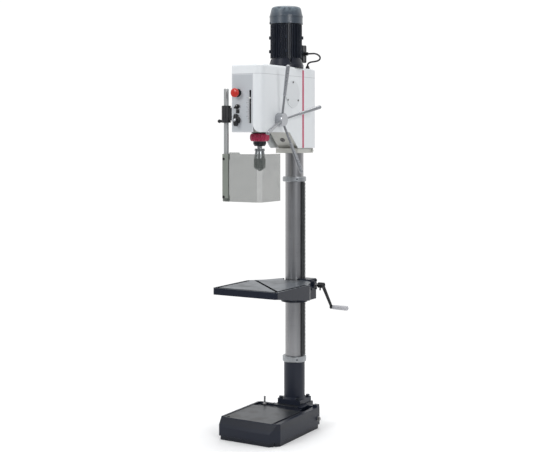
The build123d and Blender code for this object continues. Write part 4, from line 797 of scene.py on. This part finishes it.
def lobed_ring():
    """The stop ring: its section is a superellipse from the bore to the rim, and the rim is
    drawn in between the lobes by RING_DRAW times the square of a raised cosine of the angle."""
    rim = (ring_high.x - ring_low.x) / 2 - 0.0002
    rim = rim - RING_DRAW * (0.5 - 0.5 * np.cos(RING_LOBES * across)) ** 2
    bore = 0.0312
    u = np.sign(np.cos(round_section)) * np.abs(np.cos(round_section)) ** 0.42
    v = np.sign(np.sin(round_section)) * np.abs(np.sin(round_section)) ** 0.42
    radius = (rim[:, None] + bore) / 2 + (rim[:, None] - bore) / 2 * u[None, :]
    crown = 1 - 0.42 * step_up((radius - bore) / (rim[:, None] - bore))
    return np.stack([ring_centre.x + radius * np.cos(across)[:, None],
                     ring_centre.y + radius * np.sin(across)[:, None],
                     ring_centre.z + half_height * v[None, :] * crown], -1)


def step_up(share):
    """An S-curve from 0 at share 0.45 to 1 at share 1."""
    t = np.clip((share - 0.45) / 0.55, 0, 1)
    return t * t * (3 - 2 * t)


stop_ring = skin("stop_ring_grip", [lobed_ring()], moulded("ring_crimson", screen(170, 30, 74), 0.3),
                 ring=True)
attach(stop_ring, "stop_ring")
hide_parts("stop_ring")


# ---- Capstan -------------------------------------------------------------------------
# Four steel spokes, threaded into a turned hub at a slight cone, feed the quill. Each ends
# in a long plated grip that widens to the tip, with a raised ring near its foot.
SPOKE_TURN = 104.5
SPOKE_CONE = 15.5
GRIP_START = 0.110
GRIP_LENGTH = 0.143
hub_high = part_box("capstan_hub")[1]
capstan = next(j for j in frame["joints"] if j["name"] == "capstan_turn")
hub_centre = np.array([hub_high.x - 0.015, capstan["pos_m"][1], capstan["pos_m"][2]])
wear("capstan_hub", brushed_disc("hub_aluminium", screen(176, 178, 182)))
wear("capstan_spokes", plated("spoke_steel", screen(150, 152, 156), 0.22))


def spoke_way(index):
    """The direction of one spoke: cos of the cone in the wheel's plane, sin of it outwards."""
    turn = radians(SPOKE_TURN + 90 * index)
    cone = radians(SPOKE_CONE)
    return np.array([sin(cone), cos(cone) * cos(turn), cos(cone) * sin(turn)])


def capstan_grip_profile():
    """Radius 6.5 mm at the foot and 9 mm at the tip, swelling a little more in the middle of
    the palm; both ends rounded, with a 0.5 mm ring moulded 8 mm from the foot."""
    rows = eased_rod(GRIP_LENGTH, 0.0066, 0.0089, 0.007, 48)
    s = rows[:, 0]
    rows[:, 1] += 0.0004 * np.sin(pi * s / GRIP_LENGTH) + 0.0005 * np.exp(-((s - 0.008) / 0.0012) ** 2)
    return rows


lever_grips = skin("capstan_lever_grips", [
    turned(hub_centre + GRIP_START * spoke_way(i), spoke_way(i), capstan_grip_profile(), 40)
    for i in range(4)],
    plated("lever_steel", screen(168, 170, 174), 0.2))
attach(lever_grips, "capstan")
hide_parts("capstan_grips")


# ---- Gear train and motor ------------------------------------------------------------
# Hardened gears run in oil inside the head. The flanged motor stands on the roof: ribbed
# casting and terminal box in blue-black, fan cowl pressed from sheet in glossy slate blue.
wear("drive_sleeve", greased_steel("sleeve_steel", screen(140, 140, 142)))
wear("second_layshaft", greased_steel("layshaft_steel", screen(134, 134, 137)))
wear("first_layshaft", greased_steel("first_shaft_steel", screen(128, 128, 131)))
wear("shaft_bearings", plated("race_steel", screen(172, 172, 174), 0.2))
wear("motor_rotor", greased_steel("rotor_steel", screen(120, 121, 124)))
MOTOR_BLUE = screen(24, 30, 42)
motor_enamel = enamel("motor_enamel", MOTOR_BLUE, screen(74, 80, 96), 0.0012, 0.24)
wear("motor_body", motor_enamel)
wear("motor_flange", enamel("motor_foot_enamel", screen(26, 29, 40), screen(70, 76, 92), 0.0015, 0.26))
wear("terminal_box", moulded("terminal_black", screen(26, 27, 32), 0.4))
wear("motor_screws", plated("motor_screws", screen(96, 98, 104)))

stator_finish, place = new_finish("stator_and_end_shield")
x, y, z = parts(place)
shield_coat = step(z, 1.8400, 1.8420)
lamination = noise(stretched(place, 6.0, 6.0, 2400.0), 1.0, 2.0)
set_finish(stator_finish, {
    "Base Color": mix(shield_coat, mix(lamination, screen(92, 48, 30), screen(118, 66, 40)), MOTOR_BLUE),
    "Roughness": 0.4 + lamination * 0.12,
    "Normal": bump(lamination, 0.0001, 0.4)})
wear("motor_stator", stator_finish)

cowl_finish, place = new_finish("cowl_gloss")
x, y, z = parts(place)
eased, lean = eased_edges(place, 0.002)
cloud = noise(place, 9.0, 2.0)
# Painted highlight: the top of the cowl, from 1.890 m up, is lightened in patches; the same mask also makes
# it rougher, with less coat.
top_light_patches = step(z, 1.890, 1.925) * step(noise(place, 60.0, 4.0), 0.25, 0.7)
set_finish(cowl_finish, {
    "Base Color": mix(top_light_patches * 0.6, mix(cloud, screen(46, 56, 68), screen(58, 69, 80)), screen(128, 142, 150)),
    "Roughness": 0.34 + cloud * 0.08 + top_light_patches * 0.15,
    "Coat Weight": 0.3 - top_light_patches * 0.2,
    "Coat Roughness": 0.3,
    "Normal": bump(noise(place, 420.0) * 0.3 + cloud, 0.0004, 0.4, eased)})
wear("motor_cowl", cowl_finish)


# ---- Guard ---------------------------------------------------------------------------
# A smoke-grey clear plastic shield, bent once, stands round the chuck. Two strips and two
# screws clamp it to a satin steel rod, which slides in a black bracket with a ball screw.
wear("guard_bracket", moulded("bracket_black", screen(24, 25, 28), 0.42))
wear("guard_rod", turned_steel("guard_steel", screen(166, 168, 168), 900.0, 0.36, 0.7))
wear("guard_knob", moulded("ball_black", screen(18, 18, 20), 0.18))
strip_finish, place = new_finish("strip_enamel")
x, y, z = parts(place)
shade, rough, relief = enamel_look(place, screen(128, 133, 126), screen(158, 160, 156), 0.0008, 0.4)
screw = 1 - step(y, -0.1826, -0.1822)
set_finish(strip_finish, {
    "Base Color": mix(screw, shade, screen(44, 44, 46)),
    "Roughness": rough,
    "Metallic": screw * 0.7,
    "Specular IOR Level": 0.3,
    "Normal": relief})
wear("guard_clamp", strip_finish)

smoke, place = new_finish("smoke_plastic")
x, y, z = parts(place)
smear = step(noise(stretched(place, 10.0, 10.0, 30.0), 1.0, 4.0), 0.4, 0.75)
scratch = step(noise(stretched(place, 260.0, 260.0, 18.0), 1.0, 2.0), 0.64, 0.72)
# Painted highlight and shade on the bend: the bent part is made more see-through so it shows lighter, and
# thin dark lines are painted where the bend starts and where it ends.
bend = step(x, 0.0500, 0.0506) * (1 - step(y, -0.1616, -0.1610))
bend_shade_lines = within(x, 0.0485, 0.0498, 0.0004) * (1 - step(y, -0.1770, -0.1765))
bend_shade_lines = bend_shade_lines + within(y, -0.1612, -0.1600, 0.0004) * step(x, 0.0660, 0.0662) * 0.5
sheet_tone = mix(smear, screen(98, 103, 98), screen(104, 108, 105))
set_finish(smoke, {
    "Base Color": mix(bend_shade_lines * 0.7, sheet_tone, screen(40, 42, 42)),
    "Roughness": 0.3 + smear * 0.12 + scratch * 0.2,
    "Alpha": 0.47 + smear * 0.03 + scratch * 0.06 - bend * 0.09,
    "Normal": bump(scratch, 0.00005, 0.4)})

SHEET_T = 0.0028
shield_low, shield_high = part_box("guard_shield")
shield_body = shield_high.z - 0.007


def shield_grid():
    """The bent sheet. Its middle line in plan runs along the front, round a quarter circle of
    18 mm and back along the right side; every point is doubled, half the thickness to each
    side. The height goes from the lower edge to the upper edge, which a tab lifts by 7 mm."""
    half = SHEET_T / 2
    bend = 0.018
    front = shield_low.y + 0.0015
    right = shield_high.x - 0.0015
    left_run = np.linspace(shield_low.x + 0.0002, right - bend, 60)
    turn = np.linspace(0, pi / 2, 16)[1:-1]
    side_run = np.linspace(front + bend, shield_high.y - 0.0002, 20)
    x = np.concatenate([left_run, right - bend + bend * np.sin(turn), np.full(20, right)])
    y = np.concatenate([np.full(60, front), front + bend - bend * np.cos(turn), side_run])
    nx = np.concatenate([np.zeros(60), np.sin(turn), np.ones(20)])
    ny = np.concatenate([-np.ones(60), -np.cos(turn), np.zeros(20)])
    far = x - shield_low.x
    on_front = np.concatenate([np.ones(60), np.zeros(len(turn) + 20)])
    tab = on_front * np.clip((far - 0.033) / 0.001, 0, 1) * np.clip((0.090 - far) / 0.001, 0, 1)
    cut = on_front * np.clip(0.014 - far, 0, 0.014)
    loop = lambda outer, inner: np.concatenate([outer, inner[::-1]])
    low = loop(shield_low.z + cut, shield_low.z + cut)
    high = loop(shield_body + 0.007 * tab, shield_body + 0.007 * tab)
    plan_x = loop(x + nx * half, x - nx * half)
    plan_y = loop(y + ny * half, y - ny * half)
    level = np.linspace(0, 1, 12)[:, None]
    height = low[None, :] + (high - low)[None, :] * level
    return np.stack([np.broadcast_to(plan_x, height.shape),
                     np.broadcast_to(plan_y, height.shape), height], -1)


def sheet_piece(name, grid, material):
    """A thin walled loop with its upper and lower edges closed by strips between the faces."""
    rows, columns = grid.shape[:2]
    number = np.arange(rows * columns).reshape(rows, columns)
    after = np.roll(number, -1, axis=1)
    faces = np.stack([number[:-1], after[:-1], after[1:], number[1:]], -1).reshape(-1, 4).tolist()
    half = columns // 2
    for row in (number[0], number[-1]):
        outer, inner = row[:half], row[half:][::-1]
        faces += np.stack([outer[:-1], outer[1:], inner[1:], inner[:-1]], -1).tolist()
    mesh = bpy.data.meshes.new(name)
    mesh.from_pydata(grid.reshape(-1, 3).tolist(), [], faces)
    shape = bmesh.new()
    shape.from_mesh(mesh)
    bmesh.ops.recalc_face_normals(shape, faces=shape.faces)
    shape.to_mesh(mesh)
    shape.free()
    mesh.shade_smooth()
    mesh.set_sharp_from_angle(angle=radians(30))
    mesh.materials.append(material)
    piece = bpy.data.objects.new(name, mesh)
    bpy.context.scene.collection.objects.link(piece)
    return piece


shield = sheet_piece("guard_sheet", shield_grid(), smoke)
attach(shield, "guard")
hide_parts("guard_shield")
